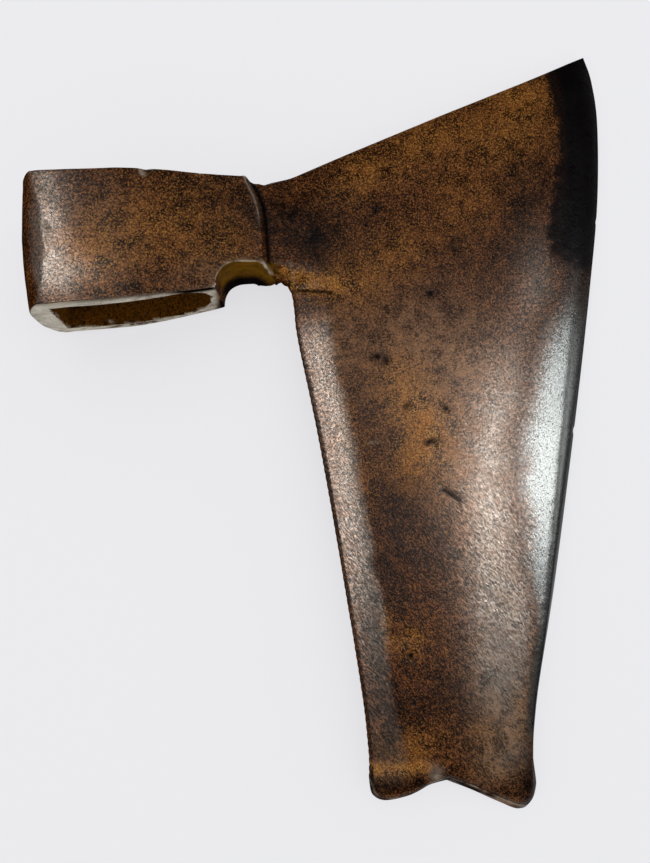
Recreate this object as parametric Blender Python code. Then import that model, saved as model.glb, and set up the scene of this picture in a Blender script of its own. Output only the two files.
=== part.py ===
"""Bearded axe head of wrought iron, lying loose on its side.

Metres, +Z up. The head is shaped in its own frame: X runs from the poll to the cutting
edge, Y runs up from the beard's end, and Z runs through the thickness. That frame starts
at the poll's lower corner, on the middle plane. The finished head is then laid down on
the three points that it rests on, with the middle of its footprint at the origin.
"""
import bmesh
import bpy
import numpy as np
from mathutils import Matrix, Vector

# Socket
SOCKET_HEIGHT = 0.0456         # lower eye face to upper eye face, at the poll
UPPER_FACE_SLOPE = 0.028       # rise of the upper eye face towards the blade
SOCKET_LENGTH = 0.0765         # poll crease to shoulder ridge
POLL_THICKNESS = 0.0432        # cheek to cheek over the parallel part
SHOULDER_THICKNESS = 0.0240    # cheek to cheek at the shoulder ridge
CHEEK_PARALLEL = 0.0260        # length of the parallel cheeks
POLL_DOME = 0.0052             # how far the poll stands beyond its crease
POLL_CROWN = 0.0020            # further bulge half-way up the poll
POLL_WEAR = 0.0032             # how far the crease is hammered back half-way up
POLL_POWER = 3                 # how square the poll stands between its two creases
LOWER_FACE_FLAT = 0.0200       # flat part of the lower eye face, from the poll
LOWER_FACE_SLOPE = 0.050       # its rise towards the blade, as a share of its length
LOWER_FACE_LIFT = 0.0031       # further rise of its curved part, up to the notch
NOTCH_START = 0.0590           # where the notch under the neck starts
NOTCH_REACH = 0.0090           # length of the notch's quarter round
NOTCH_TOP = 0.0156             # height of the notch's roof
NOTCH_LEAN = 0.0036            # how far the notch's lower rim lies nearer the blade
NOTCH_SAG = 0.0014             # how far the roof's lower rim lies below its upper one
NOTCH_POWER = 4                # how close to the lower side that lean and sag stay

# Shoulder and neck
SHOULDER_STEP = 0.0025         # drop from the socket's cheek to the neck
SHOULDER_RUN = 0.0028          # length of that drop
SHOULDER_BACK = 0.0040         # how far the ridge runs back at its upper end
SHOULDER_EASE = 0.6            # share of that pull which is lost over the drop
NECK_END = 0.0815              # where the neck meets the blade
NECK_TOP = 0.0460              # height of the neck's upper side
NECK_FOOT = 0.0120             # height of the neck's lower side at the blade
NECK_FADE = 0.0300             # length over which the neck thins into the blade
NECK_SLOPE = 0.0100            # height over which its lower side slopes down to the beard

# Eye
POLL_WALL = 0.0030             # poll crease to the eye
EYE_LENGTH = 0.0543
EYE_WIDTH = 0.0290
EYE_BELLY = 0.0025             # the lower cheek's wall is forged thinner by this
EYE_TIP = 0.0130               # length of the eye's rounded front
EYE_TIP_POWER = 0.8            # below 1 the front is blunter than an ellipse
EYE_BELLY_SHARE = 0.8          # share of the eye's length that the belly spans

# Blade outline
BLADE_REACH = 0.2224           # poll crease to the widest point of the edge
TIP_HEIGHT = 0.1033            # edge's upper tip above the socket's lower corner
LOBE_DEPTH = 0.1978            # beard's lowest lobe below that corner
EDGE_STATIONS = (              # share of the height from tip to lobe, inset from the reach
    (0.000, 0.0032), (0.035, 0.0007), (0.097, 0.0000), (0.207, 0.0036), (0.326, 0.0108),
    (0.487, 0.0218), (0.725, 0.0394), (0.856, 0.0506), (0.925, 0.0543), (0.968, 0.0538))
INNER_STATIONS = (             # share of the beard's depth, distance from the poll crease
    (0.000, 0.0885), (0.060, 0.0891), (0.260, 0.0943), (0.480, 0.0986), (0.720, 0.1028),
    (0.840, 0.1038), (0.900, 0.1032))
CORNER_POINTS = ((0.0856, 0.0106), (0.0879, 0.0066))    # inner corner, neck to beard
TOP_POINTS = ((0.0870, 0.0491), (0.1090, 0.0588), (0.1500, 0.0755), (0.1930, 0.0924))
LEFT_LOBE = ((0.1046, 0.0149), (0.1095, 0.0118), (0.1190, 0.0123), (0.1270, 0.0151))
CLEFT = (0.1335, 0.0160)       # top of the fishtail's cleft, height above the lower lobe
RIGHT_LOBE = ((0.1430, 0.0109), (0.1540, 0.0042), (0.1619, 0.0000), (0.1664, 0.0014))

# Blade thickness
ROOT_THICKNESS = 0.0078        # at the neck side
FACE_THICKNESS = 0.0048        # where the edge's bevel starts
EDGE_THICKNESS = 0.0007
BEVEL_LENGTH = 0.0120
RIM_THICKNESS = 0.0038         # along the beard's inner side and the blade's top
RIM_FALL = 0.0120              # how far in from a rim the blade is thinned
RIM_TURN = 0.0040              # length over which the neck's rim turns into the blade's
RIM_STEEPNESS = 2.0            # rise of the neck's faces from the inner rim
TOE_CURL = 0.0030              # how far the fishtail is bent down
TOE_CURL_LENGTH = 0.0240
TOE_BEVEL = 0.0016             # the fishtail's cut end slopes out by this

# Finish
IRON_COLOUR = (0.085, 0.045, 0.027, 1.0)
IRON_METALLIC = 0.6
IRON_ROUGHNESS = 0.48
ARRIS_ANGLE = 0.6              # radians between two faces that meet in a hard arris

# Mesh steps
CURVE_STEPS = 24               # steps between two knots of a curve
OUTLINE_STEPS = 240            # points along the blade's top before its columns are set
LOBE_STEPS = 120               # points along each half of the fishtail
COLUMN_CROWDING = 0.06         # how far the blade's columns crowd towards the edge
NECK_ROWS = 8
BEARD_ROWS = 38
BLADE_COLUMNS = 22
SOCKET_COLUMNS = 13
NOTCH_COLUMNS = 5
SHOULDER_COLUMNS = 3
EYE_SIDE_POINTS = 9
EYE_TIP_POINTS = 8
RIM_LEVELS = (0.62, 0.0, -0.62)


def ease(value):
    """Smooth step from 0 to 1 as the value goes from 0 to 1."""
    value = np.clip(value, 0.0, 1.0)
    return value * value * (3.0 - 2.0 * value)


def smooth_curve(points, count):
    """Points at even steps along a smooth curve through the given points."""
    knots = np.asarray(points, dtype=float)
    padded = np.vstack([2 * knots[0] - knots[1], knots, 2 * knots[-1] - knots[-2]])
    share = np.linspace(0.0, 1.0, CURVE_STEPS, endpoint=False)[:, None]
    pieces = []
    for a, b, c, d in zip(padded, padded[1:], padded[2:], padded[3:]):
        pieces.append(0.5 * (2 * b + (c - a) * share + (2 * a - 5 * b + 4 * c - d) * share ** 2
                             + (3 * b - a - 3 * c + d) * share ** 3))
    path = np.vstack(pieces + [knots[-1:]])
    return along(path, np.linspace(0.0, 1.0, count))


def along(path, shares):
    """Points of a path at the given shares of its length."""
    steps = np.linalg.norm(np.diff(path, axis=0), axis=1)
    length = np.concatenate([[0.0], np.cumsum(steps)])
    targets = np.asarray(shares) * length[-1]
    return np.stack([np.interp(targets, length, path[:, axis]) for axis in range(2)], axis=-1)


def lower_line(x):
    """Height of the socket's lower side: eye face, notch, and neck."""
    curve = np.clip((x - LOWER_FACE_FLAT) / (NOTCH_START - LOWER_FACE_FLAT), 0.0, None)
    face = LOWER_FACE_SLOPE * x + LOWER_FACE_LIFT * curve ** 2
    start = LOWER_FACE_SLOPE * NOTCH_START + LOWER_FACE_LIFT
    turn = np.clip((NOTCH_START + NOTCH_REACH - x) / NOTCH_REACH, 0.0, 1.0)
    notch = start + (NOTCH_TOP - start) * np.sqrt(1.0 - turn ** 2)
    fall = ease((x - SOCKET_LENGTH + SHOULDER_STEP) / (NECK_END - SOCKET_LENGTH + SHOULDER_STEP))
    return np.where(x < NOTCH_START, face, notch - (NOTCH_TOP - NECK_FOOT) * fall)


def upper_line(x):
    """Height of the socket's upper side: eye face, shoulder, and neck."""
    face = SOCKET_HEIGHT + UPPER_FACE_SLOPE * x
    return face + (NECK_TOP - face) * ease((x - SOCKET_LENGTH + SHOULDER_BACK) / SHOULDER_RUN)


def ridge_line(y):
    """Distance of the shoulder ridge from the poll crease at a height."""
    middle = (NOTCH_TOP + SOCKET_HEIGHT) / 2
    rise = np.clip((y - middle) / (SOCKET_HEIGHT - middle), 0.0, 1.0)
    return SOCKET_LENGTH - SHOULDER_BACK * rise ** 2


def socket_plan():
    """Plan of the socket and neck, as rows from its top and columns from the poll."""
    turn = np.linspace(0.0, np.pi / 2, NOTCH_COLUMNS + 1)[1:]
    base = np.concatenate([
        np.linspace(0.0, NOTCH_START, SOCKET_COLUMNS),
        NOTCH_START + NOTCH_REACH * (1.0 - np.cos(turn)),
        np.linspace(NOTCH_START + NOTCH_REACH, SOCKET_LENGTH, SHOULDER_COLUMNS + 1)[1:],
        [SOCKET_LENGTH + SHOULDER_RUN, NECK_END]])
    row = np.linspace(0.0, 1.0, NECK_ROWS + 1)[:, None]
    crest = SOCKET_HEIGHT + UPPER_FACE_SLOPE * base
    height = crest + (lower_line(base) - crest) * row
    past = ease((base - SOCKET_LENGTH) / SHOULDER_RUN)
    pull = ease(base / SOCKET_LENGTH) ** 2 * (1.0 - SHOULDER_EASE * past)
    x = base - (SOCKET_LENGTH - ridge_line(height)) * pull
    wear = 4.0 * row * (1.0 - row) * (1.0 - ease(base / CHEEK_PARALLEL))
    y = upper_line(x) + (lower_line(base) - upper_line(x)) * row
    return np.stack([x + POLL_WEAR * wear, y], axis=-1)


def blade_plan(neck_line):
    """Plan of the blade, as rows from its top edge and columns from its inner side."""
    height = TIP_HEIGHT + LOBE_DEPTH
    edge = [(BLADE_REACH - inset, TIP_HEIGHT - share * height) for share, inset in EDGE_STATIONS]
    inner = [(x, -share * LOBE_DEPTH) for share, x in INNER_STATIONS]
    beard = smooth_curve([tuple(neck_line[-1]), *CORNER_POINTS, *inner], BEARD_ROWS + 1)
    left = np.vstack([neck_line, beard[1:]])
    right = smooth_curve(edge, len(left))
    top = smooth_curve([tuple(neck_line[0]), *TOP_POINTS, edge[0]], OUTLINE_STEPS)
    lobes = [[(x, y - LOBE_DEPTH) for x, y in lobe] for lobe in (LEFT_LOBE, RIGHT_LOBE)]
    cleft = (CLEFT[0], CLEFT[1] - LOBE_DEPTH)
    bottom = np.vstack([smooth_curve([inner[-1], *lobes[0], cleft], LOBE_STEPS),
                        smooth_curve([cleft, *lobes[1], edge[-1]], LOBE_STEPS)[1:]])
    share = np.linspace(0.0, 1.0, BLADE_COLUMNS + 1)
    share = share + COLUMN_CROWDING * np.sin(2.0 * np.pi * share) * share
    top = along(top, share)
    bottom = along(bottom, share)
    u = np.linspace(0.0, 1.0, len(left))[:, None, None]
    v = share[None, :, None]
    sides = (1.0 - v) * left[:, None] + v * right[:, None]
    ends = (1.0 - u) * top[None] + u * bottom[None]
    corners = ((1.0 - u) * ((1.0 - v) * left[0] + v * right[0])
               + u * ((1.0 - v) * left[-1] + v * right[-1]))
    return sides + ends - corners


def socket_half(x):
    """Half thickness of the socket at a distance from the poll crease."""
    fall = ease((x - CHEEK_PARALLEL) / (SOCKET_LENGTH - CHEEK_PARALLEL))
    return (POLL_THICKNESS + (SHOULDER_THICKNESS - POLL_THICKNESS) * fall) / 2


def neck_half(plan, blade, rim):
    """Half thickness past the shoulder ridge, thinning from the neck to the blade."""
    ridge = ridge_line(plan[..., 1])
    step = np.clip((plan[..., 0] - ridge) / SHOULDER_RUN, 0.0, 1.0)
    stem = SHOULDER_THICKNESS / 2 - SHOULDER_STEP * step
    fade = 1.0 - np.clip((plan[..., 0] - ridge - SHOULDER_RUN) / NECK_FADE, 0.0, 1.0)
    body = ease((plan[..., 1] - NECK_FOOT + NECK_SLOPE / 2) / NECK_SLOPE)
    half = blade + (stem - blade) * fade ** 2 * body
    gap = np.linalg.norm(plan[:, :, None] - rim, axis=-1).min(axis=-1)
    return np.minimum(half, RIM_THICKNESS / 2 + RIM_STEEPNESS * gap)


def blade_half(plan, rim):
    """Half thickness of the blade on its grid, from the distances to its rims."""
    across = np.linalg.norm(plan - plan[:, -1:], axis=-1)
    inward = np.linalg.norm(plan - plan[:, :1], axis=-1)
    down = np.linalg.norm(plan - plan[:1], axis=-1)
    share = inward / (inward + across)
    core = (ROOT_THICKNESS + (FACE_THICKNESS - ROOT_THICKNESS) * share) / 2
    bevel = 1.0 - (1.0 - np.clip(across / BEVEL_LENGTH, 0.0, 1.0)) ** 2
    core = EDGE_THICKNESS / 2 + (core - EDGE_THICKNESS / 2) * bevel
    half = neck_half(plan, core, rim)
    beard = ease((NECK_FOOT - plan[:, :1, 1]) / RIM_TURN)
    crest = ease((plan[..., 0] - NECK_END) / RIM_FALL)
    thin = 1.0 - RIM_THICKNESS / ROOT_THICKNESS
    for distance, weight in ((inward, beard), (down, crest)):
        near = (1.0 - np.clip(distance / RIM_FALL, 0.0, 1.0)) ** 2
        half = half * (1.0 - weight * thin * near)
    return half


def middle_plane(plan):
    """Height of the head's middle plane, which bends down at the fishtail."""
    past = -plan[..., 1] - (LOBE_DEPTH - TOE_CURL_LENGTH)
    return -TOE_CURL * np.clip(past / TOE_CURL_LENGTH, 0.0, None) ** 2


def head_grid():
    """Plan, half thickness and presence of every point of the L-shaped grid."""
    socket = socket_plan()
    blade = blade_plan(socket[:, -1])
    rows, joint = len(blade), socket.shape[1] - 1
    plan = np.zeros((rows, joint + blade.shape[1], 2))
    half = np.zeros(plan.shape[:2])
    present = np.zeros(plan.shape[:2], dtype=bool)
    rim = blade[NECK_ROWS:, 0]
    past_ridge = np.arange(joint + 1) > joint - 2
    stem = np.where(past_ridge, neck_half(socket, ROOT_THICKNESS / 2, rim), socket_half(socket[..., 0]))
    plan[:NECK_ROWS + 1, :joint + 1] = socket
    half[:NECK_ROWS + 1, :joint + 1] = stem
    present[:NECK_ROWS + 1, :joint + 1] = True
    plan[:, joint:] = blade
    half[:, joint:] = blade_half(blade, rim)
    present[:, joint:] = True
    return plan, half, present


def rim_loop(present):
    """The grid's outline as rows and columns, from the poll's upper corner, clockwise."""
    rows, columns = present.shape
    joint = int(np.argmax(present[-1]))
    loop = [(0, column) for column in range(columns)]
    loop += [(row, columns - 1) for row in range(1, rows)]
    loop += [(rows - 1, column) for column in range(columns - 2, joint - 1, -1)]
    loop += [(row, joint) for row in range(rows - 2, NECK_ROWS - 1, -1)]
    loop += [(NECK_ROWS, column) for column in range(joint - 1, -1, -1)]
    loop += [(row, 0) for row in range(NECK_ROWS - 1, 0, -1)]
    return loop


def at_level(plan, level):
    """The plan at a level from -1, the lower face, to 1, the upper face."""
    moved = plan.copy()
    rows = np.linspace(0.0, 1.0, NECK_ROWS + 1)
    slope = UPPER_FACE_SLOPE + (LOWER_FACE_SLOPE - UPPER_FACE_SLOPE) * rows
    bulge = POLL_DOME + (POLL_CROWN + POLL_WEAR) * 4.0 * rows * (1.0 - rows)
    bulge *= 1.0 - abs(level) ** POLL_POWER
    moved[:NECK_ROWS + 1, 0] -= np.stack([bulge, slope * bulge], axis=-1)
    moved[-1, :, 1] -= TOE_BEVEL * (1.0 - level) / 2
    stem = plan[:NECK_ROWS + 1, :, 0]
    near = ease((stem - NOTCH_START + 2 * NOTCH_REACH) / (2 * NOTCH_REACH))
    near = near * rows[:, None] ** NOTCH_POWER
    lean = near * (1.0 - ease((stem - NOTCH_START - NOTCH_REACH / 2) / NOTCH_REACH))
    moved[:NECK_ROWS + 1, :, 0] += NOTCH_LEAN * lean * (1.0 - level) / 2
    roof = near * ease((stem - NOTCH_START) / NOTCH_REACH) * (1.0 - ease((stem - NECK_END) / RIM_TURN))
    moved[:NECK_ROWS + 1, :, 1] -= NOTCH_SAG * roof * (1.0 - level) / 2
    return moved


def head_mesh():
    """The head before its eye is cut: two faces and the rim that joins them."""
    plan, half, present = head_grid()
    rows, columns = present.shape
    middle = middle_plane(plan)
    form = bmesh.new()
    sheets = []
    for side in (1, -1):
        spots = np.dstack([at_level(plan, side), middle + side * half])
        sheet = {spot: form.verts.new(spots[spot]) for spot in zip(*np.nonzero(present))}
        for row in range(rows - 1):
            for column in range(columns - 1):
                corners = [(row, column), (row + 1, column), (row + 1, column + 1), (row, column + 1)]
                if all(present[corner] for corner in corners):
                    form.faces.new([sheet[corner] for corner in corners[::side]])
        sheets.append(sheet)
    loop = rim_loop(present)
    rings = [[sheets[0][spot] for spot in loop]]
    for level in RIM_LEVELS:
        spots = np.dstack([at_level(plan, level), middle + level * half])
        rings.append([form.verts.new(spots[spot]) for spot in loop])
    rings.append([sheets[1][spot] for spot in loop])
    for upper, lower in zip(rings, rings[1:]):
        for index in range(len(loop)):
            form.faces.new([upper[index - 1], upper[index], lower[index], lower[index - 1]])
    bmesh.ops.recalc_face_normals(form, faces=form.faces)
    mesh = bpy.data.meshes.new("axe_head")
    form.to_mesh(mesh)
    form.free()
    return mesh


def eye_mesh():
    """Cutter for the eye: square at the poll, round towards the blade."""
    end = POLL_WALL + EYE_LENGTH
    turn = np.linspace(np.pi / 2, 0.0, EYE_TIP_POINTS)[1:]
    straight = np.linspace(POLL_WALL, end - EYE_TIP, EYE_SIDE_POINTS)
    x = np.concatenate([straight, end - EYE_TIP * (1.0 - np.cos(turn))])
    width = np.concatenate([np.full(EYE_SIDE_POINTS, 1.0), np.sin(turn) ** EYE_TIP_POWER]) * EYE_WIDTH / 2
    belly = np.clip((x - POLL_WALL) / (EYE_LENGTH * EYE_BELLY_SHARE), 0.0, 1.0)
    belly = EYE_BELLY * np.sin(np.pi * belly)
    upper = np.stack([x, width], axis=-1)
    lower = np.stack([x, -width - belly], axis=-1)[-2::-1]
    form = bmesh.new()
    start = -SOCKET_HEIGHT / 2
    ring = [form.verts.new((x, start, z)) for x, z in np.vstack([upper, lower])]
    face = form.faces.new(ring)
    grown = bmesh.ops.extrude_face_region(form, geom=[face])["geom"]
    moved = [item for item in grown if isinstance(item, bmesh.types.BMVert)]
    bmesh.ops.translate(form, verts=moved, vec=(0.0, 2 * SOCKET_HEIGHT, 0.0))
    bmesh.ops.recalc_face_normals(form, faces=form.faces)
    mesh = bpy.data.meshes.new("eye_cutter")
    form.to_mesh(mesh)
    form.free()
    return mesh


def wrought_iron():
    """Dark brown patinated iron."""
    material = bpy.data.materials.new("wrought_iron")
    material.use_nodes = True
    shader = material.node_tree.nodes["Principled BSDF"]
    shader.inputs["Base Color"].default_value = IRON_COLOUR
    shader.inputs["Metallic"].default_value = IRON_METALLIC
    shader.inputs["Roughness"].default_value = IRON_ROUGHNESS
    return material


def weight_centre(form):
    """Centre of mass of a closed mesh, from the tetrahedra under its triangles."""
    total, centre = 0.0, Vector()
    for a, b, c in ([corner.vert.co for corner in face] for face in form.calc_loop_triangles()):
        volume = a.dot(b.cross(c)) / 6.0
        total += volume
        centre += volume * (a + b + c) / 4.0
    return centre / total


def resting_turn(head):
    """Turn that puts the head on the hull facet under its centre of mass."""
    form = bmesh.new()
    form.from_object(head, bpy.context.evaluated_depsgraph_get())
    centre = weight_centre(form)
    hull = bmesh.ops.convex_hull(form, input=form.verts)
    facets = [item for item in hull["geom"] if isinstance(item, bmesh.types.BMFace)]
    best = None
    for facet in facets:
        corners = [vertex.co.copy() for vertex in facet.verts]
        normal = (corners[1] - corners[0]).cross(corners[2] - corners[0]).normalized()
        if normal.dot(corners[0] - centre) < 0.0:
            normal.negate()
        foot = centre + normal * normal.dot(corners[0] - centre)
        sides = [normal.dot((b - a).cross(foot - a)) for a, b in zip(corners, corners[1:] + corners[:1])]
        inside = min(sides) >= 0.0 or max(sides) <= 0.0
        if inside and (best is None or normal.z < best.z):
            best = normal
    form.free()
    return best.rotation_difference(Vector((0.0, 0.0, -1.0))).to_matrix().to_4x4()


def lay_down(head):
    """Turns the head onto its resting points and centres its footprint on the origin."""
    turn = resting_turn(head)
    evaluated = head.evaluated_get(bpy.context.evaluated_depsgraph_get())
    spots = np.array([turn @ vertex.co for vertex in evaluated.data.vertices])
    low, high = spots.min(axis=0), spots.max(axis=0)
    shift = Vector((-(low[0] + high[0]) / 2, -(low[1] + high[1]) / 2, -low[2]))
    head.matrix_world = Matrix.Translation(shift) @ turn


def main():
    """Builds the axe head in its own collection, with its cutter in another."""
    for item in list(bpy.data.objects):
        bpy.data.objects.remove(item, do_unlink=True)
    parts = bpy.data.collections.new("wrought_iron_axe_head")
    cutters = bpy.data.collections.new("cutters")
    bpy.context.scene.collection.children.link(parts)
    bpy.context.scene.collection.children.link(cutters)

    head = bpy.data.objects.new("axe_head", head_mesh())
    head.data.materials.append(wrought_iron())
    parts.objects.link(head)

    cutter = bpy.data.objects.new("eye_cutter", eye_mesh())
    cutter.display_type = "WIRE"
    cutter.hide_render = True
    cutters.objects.link(cutter)
    cutter.parent = head

    cut = head.modifiers.new("eye", "BOOLEAN")
    cut.operation = "DIFFERENCE"
    cut.solver = "EXACT"
    cut.object = cutter

    head.data.shade_smooth()
    head.data.set_sharp_from_angle(angle=ARRIS_ANGLE)
    bpy.context.view_layer.update()
    lay_down(head)
    bpy.context.view_layer.update()


main()
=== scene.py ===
"""Looks of the wrought iron bearded axe head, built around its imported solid.

The head is shaped in its own frame, in millimetres: X runs from the poll crease to the
cutting edge, Y runs up from the socket's lower corner, and Z runs through the thickness.
It is then laid down as the solid lies and written into its mesh in metres.
"""
import logging
from dataclasses import dataclass
from enum import Enum

import bpy
import numpy as np
from mathutils import Euler, Matrix, Vector


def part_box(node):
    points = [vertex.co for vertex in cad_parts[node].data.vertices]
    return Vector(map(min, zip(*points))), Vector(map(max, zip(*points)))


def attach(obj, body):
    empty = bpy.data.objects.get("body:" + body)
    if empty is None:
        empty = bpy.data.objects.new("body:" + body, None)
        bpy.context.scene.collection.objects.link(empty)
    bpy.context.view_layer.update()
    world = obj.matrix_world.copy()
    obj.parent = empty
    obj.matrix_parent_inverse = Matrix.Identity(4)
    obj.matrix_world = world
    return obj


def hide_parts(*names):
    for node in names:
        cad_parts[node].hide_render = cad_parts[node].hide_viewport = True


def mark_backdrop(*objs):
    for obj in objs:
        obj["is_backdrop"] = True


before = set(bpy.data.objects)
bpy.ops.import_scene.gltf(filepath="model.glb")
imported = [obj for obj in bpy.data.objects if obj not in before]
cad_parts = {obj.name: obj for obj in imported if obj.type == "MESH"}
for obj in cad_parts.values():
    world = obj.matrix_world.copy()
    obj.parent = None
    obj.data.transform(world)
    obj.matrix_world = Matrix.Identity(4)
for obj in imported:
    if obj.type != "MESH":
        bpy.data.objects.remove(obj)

Array = np.ndarray
Tree = bpy.types.NodeTree
Output = bpy.types.NodeSocket
Thing = bpy.types.Object
MM = 0.001
LOG = logging.getLogger("axe_head")


class Side(Enum):
    """The two faces of the head as it lies."""

    UPPER = 1
    LOWER = -1


class Light(Enum):
    """What a lamp is for: the mirrored sheens, or the soft light that fills the room."""

    SHEEN = "sheen"
    FILL = "fill"


def ease(value: Array) -> Array:
    """Smooth step: 3v² - 2v³, with the value held between 0 and 1."""
    value = np.clip(value, 0.0, 1.0)
    return value * value * (3.0 - 2.0 * value)


def ramp(value: Array, start: float, end: float) -> Array:
    """Smooth step that is 0 at the start and 1 at the end, which may be the lower of the two."""
    return ease((value - start) / (end - start))


def bell(distance: Array, width: float) -> Array:
    """Bell: e to the minus square of the distance over the width."""
    return np.exp(-(distance / width) ** 2)


def along(path: Array, shares: Array) -> Array:
    """Points of a path at shares of its length, by linear steps between its points.

    Args:
        path: Points of the path, one a row.
        shares: Shares of the path's length, from 0 to 1.

    Returns:
        One point a share.
    """
    steps = np.linalg.norm(np.diff(path, axis=0), axis=1)
    length = np.concatenate([[0.0], np.cumsum(steps)])
    targets = np.asarray(shares) * length[-1]
    return np.stack([np.interp(targets, length, path[:, axis]) for axis in range(2)], axis=-1)


def smooth_curve(points: list, count: int, fineness: int = 24) -> Array:
    """Even points on the cubic that passes each knot parallel to its neighbours' chord.

    Args:
        points: Knots of the curve.
        count: How many points come back.
        fineness: Steps between two knots before the even spacing.

    Returns:
        Points at even distances.
    """
    knots = np.asarray(points, dtype=float)
    padded = np.vstack([2 * knots[0] - knots[1], knots, 2 * knots[-1] - knots[-2]])
    share = np.linspace(0.0, 1.0, fineness, endpoint=False)[None, :, None]
    a, b, c, d = (padded[start:len(padded) - 3 + start, None] for start in range(4))
    spans = 0.5 * (2 * b + (c - a) * share + (2 * a - 5 * b + 4 * c - d) * share ** 2
                   + (3 * b - a - 3 * c + d) * share ** 3)
    path = np.vstack([spans.reshape(-1, knots.shape[1]), knots[-1:]])
    return along(path, np.linspace(0.0, 1.0, count))


def right_of(path: Array) -> Array:
    """Unit vectors to the right of a closed path: inwards where it runs clockwise.

    Args:
        path: The path's points.

    Returns:
        One vector a point.
    """
    ahead = np.roll(path, -1, axis=0) - np.roll(path, 1, axis=0)
    right = np.stack([ahead[:, 1], -ahead[:, 0]], axis=-1)
    return right / np.maximum(np.linalg.norm(right, axis=1), 1e-9)[:, None]


def value_noise(spots: Array, size: float, seed: int, octaves: int = 1) -> Array:
    """Smooth noise from -1 to 1: lattice values blended by smooth steps, octaves halved.

    Args:
        spots: Points in millimetres, one a row.
        size: Lattice step in millimetres.
        seed: Whole number that picks the pattern.
        octaves: How many layers, each half as large and half as strong as the last.

    Returns:
        One value a point.
    """
    total, weight = np.zeros(len(spots)), 1.0
    for octave in range(octaves):
        scaled = spots / size * 2.0 ** octave
        cell = np.floor(scaled).astype(np.int64)
        part = scaled - cell
        part = part * part * (3.0 - 2.0 * part)
        for corner in np.ndindex(2, 2, 2):
            mixed = ((cell + corner) * np.array([73856093, 19349663, 83492791])).sum(axis=1)
            mixed = (mixed + (seed + octave) * 374761393) & 0xFFFFFFFF
            mixed = ((mixed ^ (mixed >> 13)) * 1274126177) & 0xFFFFFFFF
            value = ((mixed ^ (mixed >> 16)) & 0xFFFF) / 32767.5 - 1.0
            near = np.where(np.array(corner) == 1, part, 1.0 - part).prod(axis=1)
            total += weight * value * near
        weight /= 2.0
    return total / (2.0 - 2.0 * weight)


@dataclass(frozen=True)
class Spot:
    """A round mark on the upper face: centre, radius and strength, in millimetres."""

    x: float
    y: float
    radius: float
    strength: float = 1.0
    stretch: float = 1.0
    turn: float = 0.0

    def weight(self, spots: Array) -> Array:
        """Bell of the distance over the radius, with the mark's own stretch and turn.

        Args:
            spots: Points in the head's frame.

        Returns:
            One weight a point.
        """
        angle = np.radians(self.turn)
        east, north = spots[:, 0] - self.x, spots[:, 1] - self.y
        long = (east * np.cos(angle) + north * np.sin(angle)) / self.stretch
        wide = north * np.cos(angle) - east * np.sin(angle)
        return self.strength * bell(np.hypot(long, wide), self.radius)


@dataclass(frozen=True)
class Stroke:
    """A straight mark on the upper face: ends, half width and strength, in millimetres."""

    start: tuple[float, float]
    end: tuple[float, float]
    width: float
    strength: float = 1.0

    def weight(self, spots: Array) -> Array:
        """Bell of the distance to the line between the ends.

        Args:
            spots: Points in the head's frame.

        Returns:
            One weight a point.
        """
        start, end = np.array(self.start), np.array(self.end)
        line = end - start
        share = ((spots[:, :2] - start) @ line) / (line @ line)
        gap = np.linalg.norm(spots[:, :2] - start - np.clip(share, 0.0, 1.0)[:, None] * line, axis=1)
        return self.strength * bell(gap, self.width)


def marks(*rows: tuple) -> tuple:
    """Marks from rows of their values: a stroke where a row starts with a point, else a spot."""
    return tuple(Stroke(*row) if isinstance(row[0], tuple) else Spot(*row) for row in rows)


def marked(spots: Array, table: tuple, limit: float = 1.0) -> Array:
    """Sum of all the marks' weights at each point, no more than the limit."""
    return np.clip(sum((mark.weight(spots) for mark in table), np.zeros(len(spots))), None, limit)


def read(items: bpy.types.bpy_prop_collection, name: str, width: int = 1, kind: type = float) -> Array:
    """A property of all items as an array.

    Args:
        items: A mesh's vertices, edges, loops or polygons.
        name: The property's name.
        width: How many numbers it has an item.
        kind: Type of the numbers.

    Returns:
        One number an item, or one row an item where the width is over 1.
    """
    flat = np.zeros(len(items) * width, dtype=kind)
    items.foreach_get(name, flat)
    return flat.reshape(-1, width) if width > 1 else flat


def add_object(name: str, points: Array, faces: list) -> Thing:
    """Makes a mesh object with a slot for its outside and one for the eye's walls.

    Args:
        name: Name of the object and its mesh.
        points: Points in millimetres.
        faces: Lists of point numbers.

    Returns:
        The object, linked to the scene.
    """
    mesh = bpy.data.meshes.new(name)
    mesh.from_pydata((points * MM).tolist(), [], faces)
    for slot in ("outside", "eye_wall"):
        mesh.materials.append(bpy.data.materials.new(slot))
    made = bpy.data.objects.new(name, mesh)
    bpy.context.scene.collection.objects.link(made)
    return made


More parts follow.
